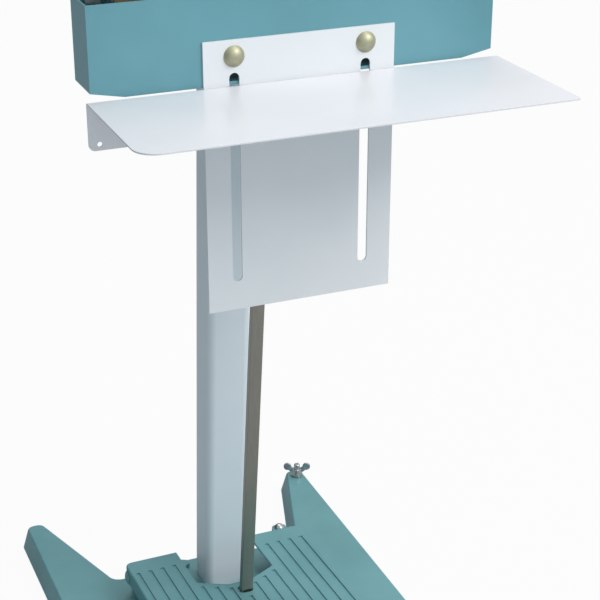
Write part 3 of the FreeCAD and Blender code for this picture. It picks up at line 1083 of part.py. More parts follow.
for x in (BOARD_X - BOARD_WIDTH / 2 + 4, BOARD_X + BOARD_WIDTH / 2 - 4):
    for y in (BOARD_Y - BOARD_LENGTH / 2 + 4, BOARD_Y + BOARD_LENGTH / 2 - 4):
        board_parts.append(rod_z(x, y, 3, BOX_BOTTOM + SHEET, BOARD_LOW + 0.5))
put("timer_board", union(*board_parts))
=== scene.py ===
# %% [markdown]
# # A foot-pedal bag sealer
# The machine stands on a cast butterfly base. A leaning square column carries the sealing head, a
# ground steel bar joins the pedal to the jaw lever, and an enamelled shelf slides on a slotted plate.
# The construction comes from the frame. This notebook gives each piece its finish and its fine form.
#
# The frame is loaded first, and nothing in it is moved. Every length is in metres; MM turns millimetres.

import json
import math

import bpy
from mathutils import Matrix, Vector

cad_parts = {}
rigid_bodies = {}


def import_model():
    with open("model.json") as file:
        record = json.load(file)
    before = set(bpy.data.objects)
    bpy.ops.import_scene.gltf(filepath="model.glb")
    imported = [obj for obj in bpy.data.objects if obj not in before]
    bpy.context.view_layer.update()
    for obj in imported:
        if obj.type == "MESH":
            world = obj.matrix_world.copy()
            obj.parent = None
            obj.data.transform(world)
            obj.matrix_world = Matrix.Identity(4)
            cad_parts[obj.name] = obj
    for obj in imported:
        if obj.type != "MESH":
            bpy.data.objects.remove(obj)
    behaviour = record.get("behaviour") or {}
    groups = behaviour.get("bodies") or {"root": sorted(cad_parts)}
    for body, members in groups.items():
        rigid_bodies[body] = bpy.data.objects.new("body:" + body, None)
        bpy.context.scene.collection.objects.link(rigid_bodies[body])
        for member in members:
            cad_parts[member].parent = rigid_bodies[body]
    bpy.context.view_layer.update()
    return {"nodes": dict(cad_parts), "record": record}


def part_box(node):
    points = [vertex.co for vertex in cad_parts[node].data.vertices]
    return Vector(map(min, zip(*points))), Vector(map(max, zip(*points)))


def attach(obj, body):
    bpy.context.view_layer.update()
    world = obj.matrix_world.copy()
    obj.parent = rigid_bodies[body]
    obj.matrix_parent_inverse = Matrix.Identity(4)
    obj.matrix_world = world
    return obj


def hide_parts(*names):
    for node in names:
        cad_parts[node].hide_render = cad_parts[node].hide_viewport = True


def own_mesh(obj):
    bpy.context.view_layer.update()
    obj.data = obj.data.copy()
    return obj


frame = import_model()
record = frame["record"]
MM = 0.001
print("pieces in the frame:", len(frame["nodes"]))

# %% [markdown]
# ## The camera
# A photograph keeps the photographer's place in its perspective. The camera could be turned by eye, but
# then every size would be judged through a wrong lens. Instead its place, its two angles and its focal
# length were worked out from corners that are far apart: the head, the shelf, the plate and the base.
# Blender wants the lens in millimetres, so the focal length in pixels is scaled to the sensor's width.

# %% Camera
CAMERA_PLACE_MM = (-521.9, -1407.7, 1129.0)
CAMERA_PITCH = 24.3
CAMERA_YAW = 22.66
FOCAL_PIXELS = 1543.0
FRAME_PIXELS = 600.0
SENSOR_MM = 36.0

camera_data = bpy.data.cameras.new("camera")
camera_data.sensor_width = SENSOR_MM
camera_data.lens = SENSOR_MM * FOCAL_PIXELS / FRAME_PIXELS
camera = bpy.data.objects.new("camera", camera_data)
bpy.context.scene.collection.objects.link(camera)
camera.location = [value * MM for value in CAMERA_PLACE_MM]
camera.rotation_euler = (math.radians(90 - CAMERA_PITCH), 0, math.radians(-CAMERA_YAW))
bpy.context.scene.camera = camera
print("lens in mm:", round(camera_data.lens, 2))

# %% [markdown]
# ## The lamps
# A large round lamp gives soft edges to the shadows, as a studio softbox does. The key lamp stands high
# at the front right, so the faces that look left and down fall into shade. A weak lamp overhead lights
# the base and the shelf from above, and one behind keeps the back of the machine readable when somebody
# walks round it. The lamps are a little warm, because the room's own light is a little cold.

# %% Lamps
LAMP_WHITE = (1.0, 0.955, 0.935)
LAMP_TARGET = (0, 0, 0.5)


def lamp(name, place, diameter, watts):
    data = bpy.data.lights.new(name, "AREA")
    data.shape = "DISK"
    data.size = diameter
    data.energy = watts
    data.color = LAMP_WHITE
    light = bpy.data.objects.new(name, data)
    bpy.context.scene.collection.objects.link(light)
    light.location = place
    light.rotation_euler = (Vector(LAMP_TARGET) - Vector(place)).to_track_quat("-Z", "Y").to_euler()


lamp("key_lamp", (2.6, -3.2, 4.0), 2.6, 123)
lamp("top_lamp", (0.9, -0.3, 4.2), 2.0, 22)
lamp("back_lamp", (0.6, 2.6, 4.4), 2.2, 34)
print("lamps:", len(bpy.data.lights))


# %% [markdown]
# ## Colours and nodes
# A paint chart gives colours as sRGB hex codes, but the shaders calculate in linear light, so one
# function turns the codes. Another adds a node with its settings and its links in one call, which keeps
# a recipe short enough to read as a recipe. The stops of a colour ramp are hex codes too.

# %% Colour and node helpers
def colour(code):
    channels = [int(code[start:start + 2], 16) / 255 for start in (0, 2, 4)]
    linear = [c / 12.92 if c <= 0.04045 else ((c + 0.055) / 1.055) ** 2.4 for c in channels]
    return (*linear, 1.0)


def wire(tree, node, settings=None, links=None):
    """Give a node its settings, and link its inputs to (node, output) pairs."""
    for key, value in (settings or {}).items():
        if key == "stops":
            for element, (position, code) in zip(node.color_ramp.elements, value):
                element.position = position
                element.color = colour(code)
        elif isinstance(key, int) or key in node.inputs.keys():
            node.inputs[key].default_value = value
        else:
            setattr(node, key, value)
    for key, (source, output) in (links or {}).items():
        tree.links.new(source.outputs[output], node.inputs[key])
    return node


def add(tree, kind, settings=None, links=None):
    return wire(tree, tree.nodes.new(kind), settings, links)


def start_material(name):
    material = bpy.data.materials.new(name)
    material.use_nodes = True
    tree = material.node_tree
    return material, tree, tree.nodes["Principled BSDF"]


# %% [markdown]
# ## The room
# The world stands for a white room. What the camera sees directly is pure white, while the light that
# falls on the machine is weaker and comes mostly from the front right: a dot product with one direction
# tells bright side from dark side. Mirror reflections see the white room too, so that metal shows it.

# %% World
AMBIENT = 0.8
DARK_SIDE = 0.03
BRIGHT_DIRECTION = (0.5, -0.6, 0.6)
TURN_OF_LIGHT = 0.4
COLD_WHITE = (0.885, 0.965, 1, 1)
PLAIN_WHITE = (1, 1, 1, 1)

world = bpy.data.worlds.new("studio")
bpy.context.scene.world = world
world.use_nodes = True
sky = world.node_tree
direction = add(sky, "ShaderNodeTexCoord")
window = add(sky, "ShaderNodeVectorMath", {"operation": "DOT_PRODUCT", 1: BRIGHT_DIRECTION},
             {0: (direction, "Generated")})
side_light = add(sky, "ShaderNodeMapRange",
                 {"From Min": -TURN_OF_LIGHT, "From Max": TURN_OF_LIGHT, "To Min": DARK_SIDE, "To Max": 1.0},
                 {"Value": (window, "Value")})
ray = add(sky, "ShaderNodeLightPath")
mirrored = add(sky, "ShaderNodeMapRange", {"To Min": AMBIENT, "To Max": 1.0},
               {"Value": (ray, "Is Glossy Ray")})
shaded = add(sky, "ShaderNodeMath", {"operation": "MULTIPLY"}, {0: (mirrored, 0), 1: (side_light, 0)})
level = add(sky, "ShaderNodeMath", {"operation": "MAXIMUM"}, {0: (ray, "Is Camera Ray"), 1: (shaded, 0)})
tone = add(sky, "ShaderNodeMix", {"data_type": "RGBA", 6: COLD_WHITE, 7: PLAIN_WHITE},
           {0: (ray, "Is Camera Ray")})
wire(sky, sky.nodes["Background"], links={"Color": (tone, 2), "Strength": (level, 0)})
bpy.context.scene.view_settings.view_transform = "Standard"
print("world nodes:", len(sky.nodes))

# %% [markdown]
# ## The floor
# Pale paper lies under the machine. A real photographer lights the paper until it goes white, which
# would also light the machine from below. Here the paper keeps its own grey for the light it passes
# on, and only the camera sees it nearly white, with a trace of the machine's shadow left in it.

# %% Floor
FLOOR_RADIUS = 6.0
PAPER_GREY = "B0B6BA"
PAPER_ROUGHNESS = 0.9
WHITE_SHARE = 0.95

bpy.ops.mesh.primitive_circle_add(vertices=64, radius=FLOOR_RADIUS, fill_type="NGON", location=(0, 0, 0))
floor = bpy.context.object
floor.name = "floor"
paper, tree, shader = start_material("studio_paper")
wire(tree, shader, {"Base Color": colour(PAPER_GREY), "Roughness": PAPER_ROUGHNESS})
floor_ray = add(tree, "ShaderNodeLightPath")
glow = add(tree, "ShaderNodeEmission", {"Color": PLAIN_WHITE, "Strength": 1.0})
share = add(tree, "ShaderNodeMath", {"operation": "MULTIPLY", 1: WHITE_SHARE},
            {0: (floor_ray, "Is Camera Ray")})
both = add(tree, "ShaderNodeMixShader", links={0: (share, 0), 1: (shader, 0), 2: (glow, 0)})
wire(tree, tree.nodes["Material Output"], links={"Surface": (both, 0)})
floor.data.materials.append(paper)
print("floor across in m:", 2 * FLOOR_RADIUS)

# %% [markdown]
# ## Stove enamel
# The head, base, pedal, column and shelf are sprayed with a hard enamel over steel or cast iron. The eye
# reads it by three things: a slow drift of tone over a hand's breadth, an even gloss, and the orange
# peel that sprayed paint dries with. The casting keeps the grain of its sand mould under the paint, so
# it gets a second, coarser relief. One recipe serves all five enamels, with other numbers.

# %% Enamel recipe
DRIFT_MM = 110
SAND_GRAIN_MM = 9
PAINT_IOR = 1.5


def enamel(name, face, shade, roughness, peel_mm, relief_mm, casting_mm=0.0):
    material, tree, shader = start_material(name)
    place = add(tree, "ShaderNodeTexCoord")
    drift = add(tree, "ShaderNodeTexNoise", {"Scale": 1 / (DRIFT_MM * MM), "Detail": 3.0},
                {"Vector": (place, "Object")})
    tint = add(tree, "ShaderNodeValToRGB", {"stops": ((0.35, shade), (0.65, face))}, {"Fac": (drift, 0)})
    gloss = add(tree, "ShaderNodeMapRange", {"To Min": roughness - 0.05, "To Max": roughness + 0.07},
                {"Value": (drift, 0)})
    peel = add(tree, "ShaderNodeTexNoise", {"Scale": 1 / (peel_mm * MM), "Detail": 2.0},
               {"Vector": (place, "Object")})
    relief = add(tree, "ShaderNodeBump", {"Strength": 0.5, "Distance": relief_mm * MM},
                 {"Height": (peel, 0)})
    if casting_mm:
        sand = add(tree, "ShaderNodeTexNoise", {"Scale": 1 / (SAND_GRAIN_MM * MM), "Detail": 5.0},
                   {"Vector": (place, "Object")})
        relief = add(tree, "ShaderNodeBump", {"Strength": 0.6, "Distance": casting_mm * MM},
                     {"Height": (sand, 0), "Normal": (relief, 0)})
    wire(tree, shader, {"IOR": PAINT_IOR, "Coat Weight": 0.2, "Coat Roughness": 0.12},
         {"Base Color": (tint, 0), "Roughness": (gloss, 0), "Normal": (relief, 0)})
    return material


# %% [markdown]
# ## The five enamels
# The teal on folded sheet is smoother than the teal on the casting, which sits on a sandy ground and
# looks a shade greener. The shelf is nearly pure white, the slotted plate a trace cooler, and the column
# a pale blue grey. Roughness stays near a third: glossier paint would mirror the room in sharp shapes.

# %% Enamels
finishes = {
    "teal_enamel": enamel("teal_enamel_on_sheet", "67A0AC", "5F97A3", 0.36, 2.2, 0.06),
    "casting_enamel": enamel("teal_enamel_on_casting", "689DA2", "5E9297", 0.42, 1.6, 0.1, 0.25),
    "white_enamel": enamel("white_enamel", "E9E8EC", "E4E4E8", 0.34, 2.5, 0.04),
    "plate_enamel": enamel("pale_plate_enamel", "EAEDEF", "E5E9EC", 0.34, 2.5, 0.05),
    "grey_enamel": enamel("blue_grey_enamel", "E1E9EF", "DBE5EC", 0.34, 2.2, 0.05),
}
print("enamels:", len(finishes))


# %% [markdown]
# ## Metals
# Ground steel shows fine lines along the way it was drawn, zinc plate shows small soft clouds, and
# extruded aluminium shows faint die lines. All of them are one recipe with another grain: a noise that
# is stretched along the piece drives the tone, the roughness and a very shallow relief. A small number
# in the stretch draws the grain out along that axis.

# %% Metal recipe
def metal(name, face, shade, roughness, grain_mm, stretch=(1, 1, 1), relief_mm=0.02):
    material, tree, shader = start_material(name)
    place = add(tree, "ShaderNodeTexCoord")
    stretched = add(tree, "ShaderNodeMapping", {"Scale": stretch}, {"Vector": (place, "Object")})
    grain = add(tree, "ShaderNodeTexNoise", {"Scale": 1 / (grain_mm * MM), "Detail": 4.0, "Roughness": 0.6},
                {"Vector": (stretched, 0)})
    tint = add(tree, "ShaderNodeValToRGB", {"stops": ((0.3, shade), (0.7, face))}, {"Fac": (grain, 0)})
    polish = add(tree, "ShaderNodeMapRange", {"To Min": roughness - 0.03, "To Max": roughness + 0.05},
                 {"Value": (grain, 0)})
    relief = add(tree, "ShaderNodeBump", {"Strength": 0.4, "Distance": relief_mm * MM},
                 {"Height": (grain, 0)})
    wire(tree, shader, {"Metallic": 1.0},
         {"Base Color": (tint, 0), "Roughness": (polish, 0), "Normal": (relief, 0)})
    return material


# %% Metals
ALONG_X = (0.02, 1, 1)

# Ground steel: the pull bar's dull silver, with hardly any relief, drawn out along its length.
finishes["polished_steel"] = metal("ground_bright_steel", "A8A196", "9F988D", 0.32, 3.0, (1, 1, 0.004), 0.003)
# Bright zinc: the cold grey clouds of plated nuts and bolts.
finishes["bright_zinc"] = metal("bright_zinc_plate", "C9CACB", "9FA2A4", 0.32, 5.0)
# Yellow passivated zinc: the straw colour of the two round heads on the plate.
finishes["yellow_zinc"] = metal("yellow_passivated_zinc", "B8B59C", "AAA78D", 0.5, 4.0)
# Oiled spring wire: dark, with a soft shine.
finishes["spring_steel"] = metal("oiled_spring_steel", "7C7B78", "55544F", 0.35, 2.0)
# Extruded aluminium: pale, with die lines along the head.
finishes["mill_aluminium"] = metal("extruded_aluminium", "D0D1D2", "B4B6B8", 0.33, 0.8, ALONG_X)
# Nickel chrome ribbon: rolled, and browned where it has been hot.
finishes["nickel_chrome"] = metal("nickel_chrome_ribbon", "9C9488", "6F675B", 0.35, 1.0, (0.05, 1, 1))
# Transformer core: the edges of thin sheets, dark with varnish.
finishes["core_steel"] = metal("laminated_core_steel", "6A6A6C", "3A3A3C", 0.5, 0.6, (0.02, 1, 0.02))
print("finishes with the metals:", len(finishes))


# %% [markdown]
# ## Plastics and rubber
# None of these is quite smooth: the mould leaves a small grain, which breaks up the highlight. The grain
# drives the tone, the sheen and the relief together, and its size tells rubber from hard plastic.

# %% Moulded recipe
def moulded(name, face, shade, roughness, grain_mm, relief_mm, ior=1.5):
    material, tree, shader = start_material(name)
    place = add(tree, "ShaderNodeTexCoord")
    grain = add(tree, "ShaderNodeTexNoise", {"Scale": 1 / (grain_mm * MM), "Detail": 3.0},
                {"Vector": (place, "Object")})
    tint = add(tree, "ShaderNodeValToRGB", {"stops": ((0.35, shade), (0.65, face))}, {"Fac": (grain, 0)})
    sheen = add(tree, "ShaderNodeMapRange", {"To Min": roughness - 0.06, "To Max": roughness + 0.08},
                {"Value": (grain, 0)})
    relief = add(tree, "ShaderNodeBump", {"Strength": 0.5, "Distance": relief_mm * MM},
                 {"Height": (grain, 0)})
    wire(tree, shader, {"IOR": ior},
         {"Base Color": (tint, 0), "Roughness": (sheen, 0), "Normal": (relief, 0)})
    return material


# %% Plastics and rubber
# Moulded rubber feet: dull and dark.
finishes["black_rubber"] = moulded("moulded_rubber", "2A2A2B", "1C1C1D", 0.75, 1.5, 0.1)
# Silicone rubber strip: brick red and soft to look at.
finishes["red_silicone"] = moulded("silicone_rubber", "B4523C", "A0442F", 0.55, 2.0, 0.05, 1.41)
# Phenolic laminate under the ribbon: the brown of varnished board.
finishes["phenolic"] = moulded("phenolic_laminate", "7C5433", "5F3E24", 0.5, 3.0, 0.05)
# ABS of the dial, switch frame, gland and fuse holder: a fine spark grain.
finishes["black_plastic"] = moulded("abs_black", "26272A", "1A1B1D", 0.42, 0.9, 0.06)
# Turned nylon bushes: an even, warm white.
finishes["white_nylon"] = moulded("turned_nylon", "E6E3D8", "E0DDD1", 0.5, 1.5, 0.03)
# Acrylic of the lamp and the rocker: glossy red.
finishes["red_lens"] = moulded("red_acrylic", "C8281E", "C1251B", 0.15, 6.0, 0.01, 1.49)
# Varnished copper winding of the transformer.
finishes["coil_wire"] = moulded("varnished_winding", "B86C34", "8A4A20", 0.35, 0.9, 0.2)
# Solder mask of the timer board.
finishes["board_green"] = moulded("solder_mask", "2B6B3F", "205231", 0.3, 1.2, 0.02)
# Screen-printed ink of the scale: an even white.
finishes["white_ink"] = moulded("screen_printed_ink", "E9E9E4", "DDDDD6", 0.5, 0.6, 0.01)
print("finishes with the plastics:", len(finishes))

# %% [markdown]
# ## Glass cloth
# The hot bar is covered with glass cloth soaked in PTFE, so that the bag doesn't stick. Heat has turned
# it brown in patches. Two crossed waves give the weave; the real threads are half a millimetre apart,
# and they are drawn at a millimetre so that they show.

# %% Cloth on the hot bar
THREAD_MM = 1.0
SCORCH_MM = 28

cloth, tree, shader = start_material("ptfe_glass_cloth")
place = add(tree, "ShaderNodeTexCoord")
threads = [add(tree, "ShaderNodeTexWave", {"Scale": 1 / (20 * THREAD_MM * MM), "bands_direction": way},
               {"Vector": (place, "Object")}) for way in ("X", "Y")]
weave = add(tree, "ShaderNodeMath", {"operation": "MULTIPLY"}, {0: (threads[0], 1), 1: (threads[1], 1)})
scorch = add(tree, "ShaderNodeTexNoise", {"Scale": 1 / (SCORCH_MM * MM), "Detail": 4.0},
             {"Vector": (place, "Object")})
tint = add(tree, "ShaderNodeValToRGB", {"stops": ((0.3, "4E4532"), (0.7, "6E6447"))}, {"Fac": (scorch, 0)})
relief = add(tree, "ShaderNodeBump", {"Strength": 0.5, "Distance": 0.05 * MM}, {"Height": (weave, 0)})
wire(tree, shader, {"Roughness": 0.45, "IOR": 1.38}, {"Base Color": (tint, 0), "Normal": (relief, 0)})
finishes["ptfe_cloth"] = cloth
print("finishes:", len(finishes))

# %% [markdown]
# ## What belongs where
# The record says which body each node moves with and which material slot it takes. Reading that here
# means that no name has to be typed twice. Operators act on whatever is selected, so two small helpers
# clear the selection and put one piece to work.

# %% Bodies, slots and selection
SMOOTH_ANGLE = 35
body_of_node = {node: body for body, nodes in record["behaviour"]["bodies"].items() for node in nodes}
slot_of_node = {part["node"]: part["material_slot"] for part in record["subparts"]}


def joint(name):
    return next(row for row in record["behaviour"]["joints"] if row["name"] == name)


def deselect():
    if bpy.context.object and bpy.context.object.mode != "OBJECT":
        bpy.ops.object.mode_set(mode="OBJECT")
    bpy.ops.object.select_all(action="DESELECT")


def work_on(piece):
    deselect()
    piece.select_set(True)
    bpy.context.view_layer.objects.active = piece


def settle():
    """Put the active piece's place, turn and scale into its mesh."""
    bpy.ops.object.transform_apply(location=True, rotation=True, scale=True)


print("nodes with a body:", len(body_of_node), "with a slot:", len(slot_of_node))


# %% [markdown]
# ## From loose triangles to worked edges
# A frame node arrives as loose triangles with knife edges. No real edge is that sharp: a file, a press
# brake or a mould leaves a small round, and that round is what catches the light. Where the form is
# right, a copy of the node is merged into one skin, its flat faces are joined again, and a bevel takes
# the edge off. Weighted normals keep the large flat faces flat beside the narrow round ones. The copy
# then stands for the node and rides with the same body.

# %% Worked copies of frame nodes
WELD = 0.002 * MM
FLAT_ANGLE = 0.5
BEVEL_FROM_ANGLE = 40


def dress(piece, node, finish, smooth_angle=SMOOTH_ANGLE):
    """Finish a piece that stands for one frame node."""
    piece.data.materials.clear()
    piece.data.materials.append(finishes[finish])
    work_on(piece)
    bpy.ops.object.shade_smooth_by_angle(angle=math.radians(smooth_angle))
    even = piece.modifiers.new("even normals", "WEIGHTED_NORMAL")
    even.keep_sharp = True
    bpy.ops.object.modifier_apply(modifier=even.name)
    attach(piece, body_of_node[node])
    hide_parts(node)


def merged_copy(node):
    source = frame["nodes"][node]
    piece = source.copy()
    piece.data = source.data.copy()
    piece.name = node + "_worked"
    piece.parent = None
    for key in list(piece.keys()):
        del piece[key]
    bpy.context.scene.collection.objects.link(piece)
    work_on(piece)
    bpy.ops.object.mode_set(mode="EDIT")
    bpy.ops.mesh.select_all(action="SELECT")
    bpy.ops.mesh.remove_doubles(threshold=WELD)
    bpy.ops.mesh.dissolve_limited(angle_limit=math.radians(FLAT_ANGLE))
    bpy.ops.object.mode_set(mode="OBJECT")
    return piece


def bevelled(piece, edge_mm):
    bevel = piece.modifiers.new("worked edge", "BEVEL")
    bevel.width = edge_mm * MM
    bevel.segments = 2
    bevel.limit_method = "ANGLE"
    bevel.angle_limit = math.radians(BEVEL_FROM_ANGLE)
    work_on(piece)
    bpy.ops.object.modifier_apply(modifier=bevel.name)


def worked(node, finish, edge_mm):
    piece = merged_copy(node)
    bevelled(piece, edge_mm)
    dress(piece, node, finish)


# %% [markdown]
# ## The castings
# Iron poured in sand has the roundest edges on the machine. The pedal is thinner and was cleaned up on a
# grinder, so its edges are finer. The flange, its bolts and the hinge axles were in place when the base
# was painted, and they wear the same coat.

# %% Castings
CASTING_EDGES_MM = {"base_casting": 1.2, "pedal": 0.5, "column_foot_flange": 0.8,
                    "column_foot_bolts": 0.3, "hinge_axles": 0.3}
for node, edge_mm in CASTING_EDGES_MM.items():
    worked(node, "casting_enamel", edge_mm)
print("pieces in the casting's paint:", len(CASTING_EDGES_MM))

# %% [markdown]
# ## Folded and painted sheet
# The head, lever, upper jaw and control box are folded from sheet. A press brake leaves a small round on
# the outside of each fold, and paint thickens it. The plate and the column are sheet and tube in their
# own paler paints.

# %% Sheet and tube
SHEET_EDGES_MM = {"jaw_housing": 0.4, "head_bracket": 0.5, "jaw_lever": 0.6, "upper_jaw": 0.5,
                  "control_box_shell": 0.8, "control_box_cover": 0.4}
for node, edge_mm in SHEET_EDGES_MM.items():
    worked(node, "teal_enamel", edge_mm)
worked("slotted_plate", "plate_enamel", 0.4)
worked("column", "grey_enamel", 0.3)
worked("column_top_plate", "grey_enamel", 0.8)
print("teal sheet pieces:", len(SHEET_EDGES_MM))

# %% [markdown]
# ## The bar and the jaws
# The pull bar is bought as ground flat steel and has the broken edges that it comes with. The hot bar and
# the holder of the silicone strip are extrusions, and the strip itself is soft, so its edge is rounder.

# %% Bar and jaws
BARE_PIECES = (
    ("pull_bar", "polished_steel", 0.7), ("seal_bar", "mill_aluminium", 0.3),
    ("silicone_holder", "mill_aluminium", 0.4), ("silicone_strip", "red_silicone", 0.5),
    ("element_clamps", "bright_zinc", 0.5), ("insulating_strip", "phenolic", 0.3),
)
for node, finish, edge_mm in BARE_PIECES:
    worked(node, finish, edge_mm)
print("pieces of bar and jaws:", len(BARE_PIECES))

# %% [markdown]
# ## Controls, feet and what is inside
# Moulded plastic has a radius at every corner, because a mould can't be filled without one. Rubber feet
# have the largest. The transformer's core is a stack of stamped sheets with a plain clean edge.

# %% Controls and feet
MOULDED_PIECES = (
    ("timer_dial", "black_plastic", 0.3), ("switch_frame", "black_plastic", 0.4),
    ("power_rocker", "red_lens", 0.4), ("pilot_lamp", "red_lens", 0.5),
    ("cord_gland", "black_plastic", 0.4), ("fuse_holder", "black_plastic", 0.4),
    ("micro_switch", "black_plastic", 0.4), ("switch_plunger", "white_nylon", 0.3),
    ("rubber_feet", "black_rubber", 1.0), ("levelling_pad", "black_rubber", 1.0),
    ("transformer_core", "core_steel", 0.5),
)
for node, finish, edge_mm in MOULDED_PIECES:
    worked(node, finish, edge_mm)
print("moulded pieces and the core:", len(MOULDED_PIECES))

# %% [markdown]
# ## The fasteners
# Bolts and nuts are headed and cut by machine and then plated, which leaves a third of a millimetre of
# round on a hexagon. The two round heads on the plate are yellow, the others bright.

# %% Fasteners
HEXAGON_EDGE_MM = 0.35
worked("plate_bolts", "yellow_zinc", 0.25)
for node in ("bracket_bolts", "head_bolts", "box_bolts", "jaw_mount_bolts", "hinge_nuts"):
    worked(node, "bright_zinc", HEXAGON_EDGE_MM)


# %% [markdown]
# ## The shelf's lower corners
# The flange that hangs behind the shelf has its lower corners rounded, as a press tool leaves them. The
# two corner edges could be bevelled, but the holes beside them make that unreliable. So the waste that
# the press tool punches away is made instead: a block with a round taken out of it. The Boolean modifier
# cuts it from the sheet, and only then does the fine edge go round the whole shelf.

# %% Shelf
FLANGE_CORNER = 6 * MM
SHELF_EDGE_MM = 0.35


def cut_away(piece, cutter):
    """Take one closed shape out of another, then delete the cutter."""
    cut = piece.modifiers.new("cut", "BOOLEAN")
    cut.operation = "DIFFERENCE"
    cut.solver = "EXACT"
    cut.object = cutter
    work_on(piece)
    bpy.ops.object.modifier_apply(modifier=cut.name)
    bpy.data.objects.remove(cutter)


shelf = merged_copy("shelf")
shelf_low, shelf_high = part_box("shelf")
for sign in (-1, 1):
    deselect()
    corner_x = sign * (shelf_high.x - FLANGE_CORNER)
    corner_z = shelf_low.z + FLANGE_CORNER
    bpy.ops.mesh.primitive_cube_add(size=2 * FLANGE_CORNER, location=(
        corner_x + sign * FLANGE_CORNER, shelf_high.y, corner_z - FLANGE_CORNER))
    waste = bpy.context.object
    bpy.ops.mesh.primitive_cylinder_add(
        vertices=64, radius=FLANGE_CORNER, depth=6 * FLANGE_CORNER,
        location=(corner_x, shelf_high.y, corner_z), rotation=(math.radians(90), 0, 0))
    cut_away(waste, bpy.context.object)
    cut_away(shelf, waste)
bevelled(shelf, SHELF_EDGE_MM)
dress(shelf, "shelf", "white_enamel")
print("shelf faces:", len(shelf.data.polygons))

# %% [markdown]
# ## The wing nut, set up
# A wing nut is a small casting with no sharp edge anywhere: a conical hub, two thin arms and a round
# lobe at the end of each. It could be drawn as one cage of faces, but the joins are awkward to draw by
# hand. Plain shapes are put where the metal is, and joined. They are melted together in the next cell.

# %% Hub, lobes and arms
nut_low, nut_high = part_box("wing_nut")
nut_axis = Vector(joint("wing_nut_turn")["pos_m"])
HUB_HEIGHT = 9 * MM
HUB_LOW_RADIUS = 7.4 * MM
HUB_TOP_RADIUS = 5.9 * MM
LOBE_RADIUS = 5.2 * MM
LOBE_REACH = 13.0 * MM
LOBE_TOP_ROOM = 0.2 * MM
ARM_INSET = 3 * MM
ARM_WIDTH = 6.5 * MM
WING_THICKNESS = 2.6 * MM
WING_ANGLE = math.radians(-22)
across_wing = Vector((-math.sin(WING_ANGLE), math.cos(WING_ANGLE), 0))
lobe_height = nut_high.z - LOBE_RADIUS - LOBE_TOP_ROOM

deselect()
bpy.ops.mesh.primitive_cone_add(
    vertices=48, radius1=HUB_LOW_RADIUS, radius2=HUB_TOP_RADIUS, depth=HUB_HEIGHT,
    location=(nut_axis.x, nut_axis.y, nut_low.z + HUB_HEIGHT / 2))
nut_shapes = [bpy.context.object]
for sign in (-1, 1):
    along = Vector((sign * math.cos(WING_ANGLE), sign * math.sin(WING_ANGLE), 0))
    lobe_place = Vector((nut_axis.x, nut_axis.y, lobe_height)) + along * LOBE_REACH
    bpy.ops.mesh.primitive_cylinder_add(
        vertices=40, radius=LOBE_RADIUS, depth=WING_THICKNESS, location=lobe_place,
        rotation=(math.radians(90), 0, WING_ANGLE))
    nut_shapes.append(bpy.context.object)
    arm_start = Vector((nut_axis.x, nut_axis.y, nut_low.z + HUB_HEIGHT * 0.5)) + along * ARM_INSET
    arm = lobe_place - arm_start
    bpy.ops.mesh.primitive_cube_add(size=1, location=(arm_start + lobe_place) / 2)
    arm_shape = bpy.context.object
    arm_shape.scale = (WING_THICKNESS, ARM_WIDTH, arm.length)
    up_way = arm.normalized()
    turn = Matrix((across_wing, up_way.cross(across_wing), up_way)).transposed()
    arm_shape.rotation_euler = turn.to_euler()
    nut_shapes.append(arm_shape)
print("wing nut shapes:", len(nut_shapes))

# %% [markdown]
# ## The wing nut, melted together
# The Remesh modifier rebuilds the joined shapes from cubes of a third of a millimetre, which makes one
# skin of them, and Smooth melts the joins into fillets. The bore for the stud is cut last, so that it
# stays round.

# %% Remesh, smooth and bore
MELT_CUBE = 0.3 * MM
MELT_ROUNDS = 10
BORE_RADIUS = 4.05 * MM
BORE_LENGTH = 60 * MM
NUT_SMOOTH_ANGLE = 60

deselect()
for shape in nut_shapes:
    shape.select_set(True)
bpy.context.view_layer.objects.active = nut_shapes[0]
bpy.ops.object.join()
wing_nut = bpy.context.object
wing_nut.name = "cast_wing_nut"
settle()
melt = wing_nut.modifiers.new("melt", "REMESH")
melt.mode = "VOXEL"
melt.voxel_size = MELT_CUBE
ease = wing_nut.modifiers.new("ease", "SMOOTH")
ease.factor = 0.5
ease.iterations = MELT_ROUNDS
bpy.ops.object.modifier_apply(modifier=melt.name)
bpy.ops.object.modifier_apply(modifier=ease.name)
bpy.ops.mesh.primitive_cylinder_add(
    vertices=48, radius=BORE_RADIUS, depth=BORE_LENGTH,
    location=(nut_axis.x, nut_axis.y, (nut_low.z + nut_high.z) / 2))
cut_away(wing_nut, bpy.context.object)
dress(wing_nut, "wing_nut", "bright_zinc", NUT_SMOOTH_ANGLE)
print("wing nut faces:", len(wing_nut.data.polygons))

# %% [markdown]
# ## The return spring
# The spring is round wire wound on a mandrel. A circle the size of the wire is drawn once, and the Screw
# modifier winds it: each turn lifts it by the pitch. The real spring shortens between its seats when the
# jaw comes down.

# %% Spring
WIRE_RADIUS = 1.0 * MM
COIL_RADIUS = 8.0 * MM
SPRING_TURNS = 7
STEPS_A_TURN = 28
SPRING_WELD = 0.005 * MM
SPRING_SMOOTH_ANGLE = 50
spring_low, spring_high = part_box("return_spring")
spring_x = (spring_low.x + spring_high.x) / 2
spring_y = (spring_low.y + spring_high.y) / 2

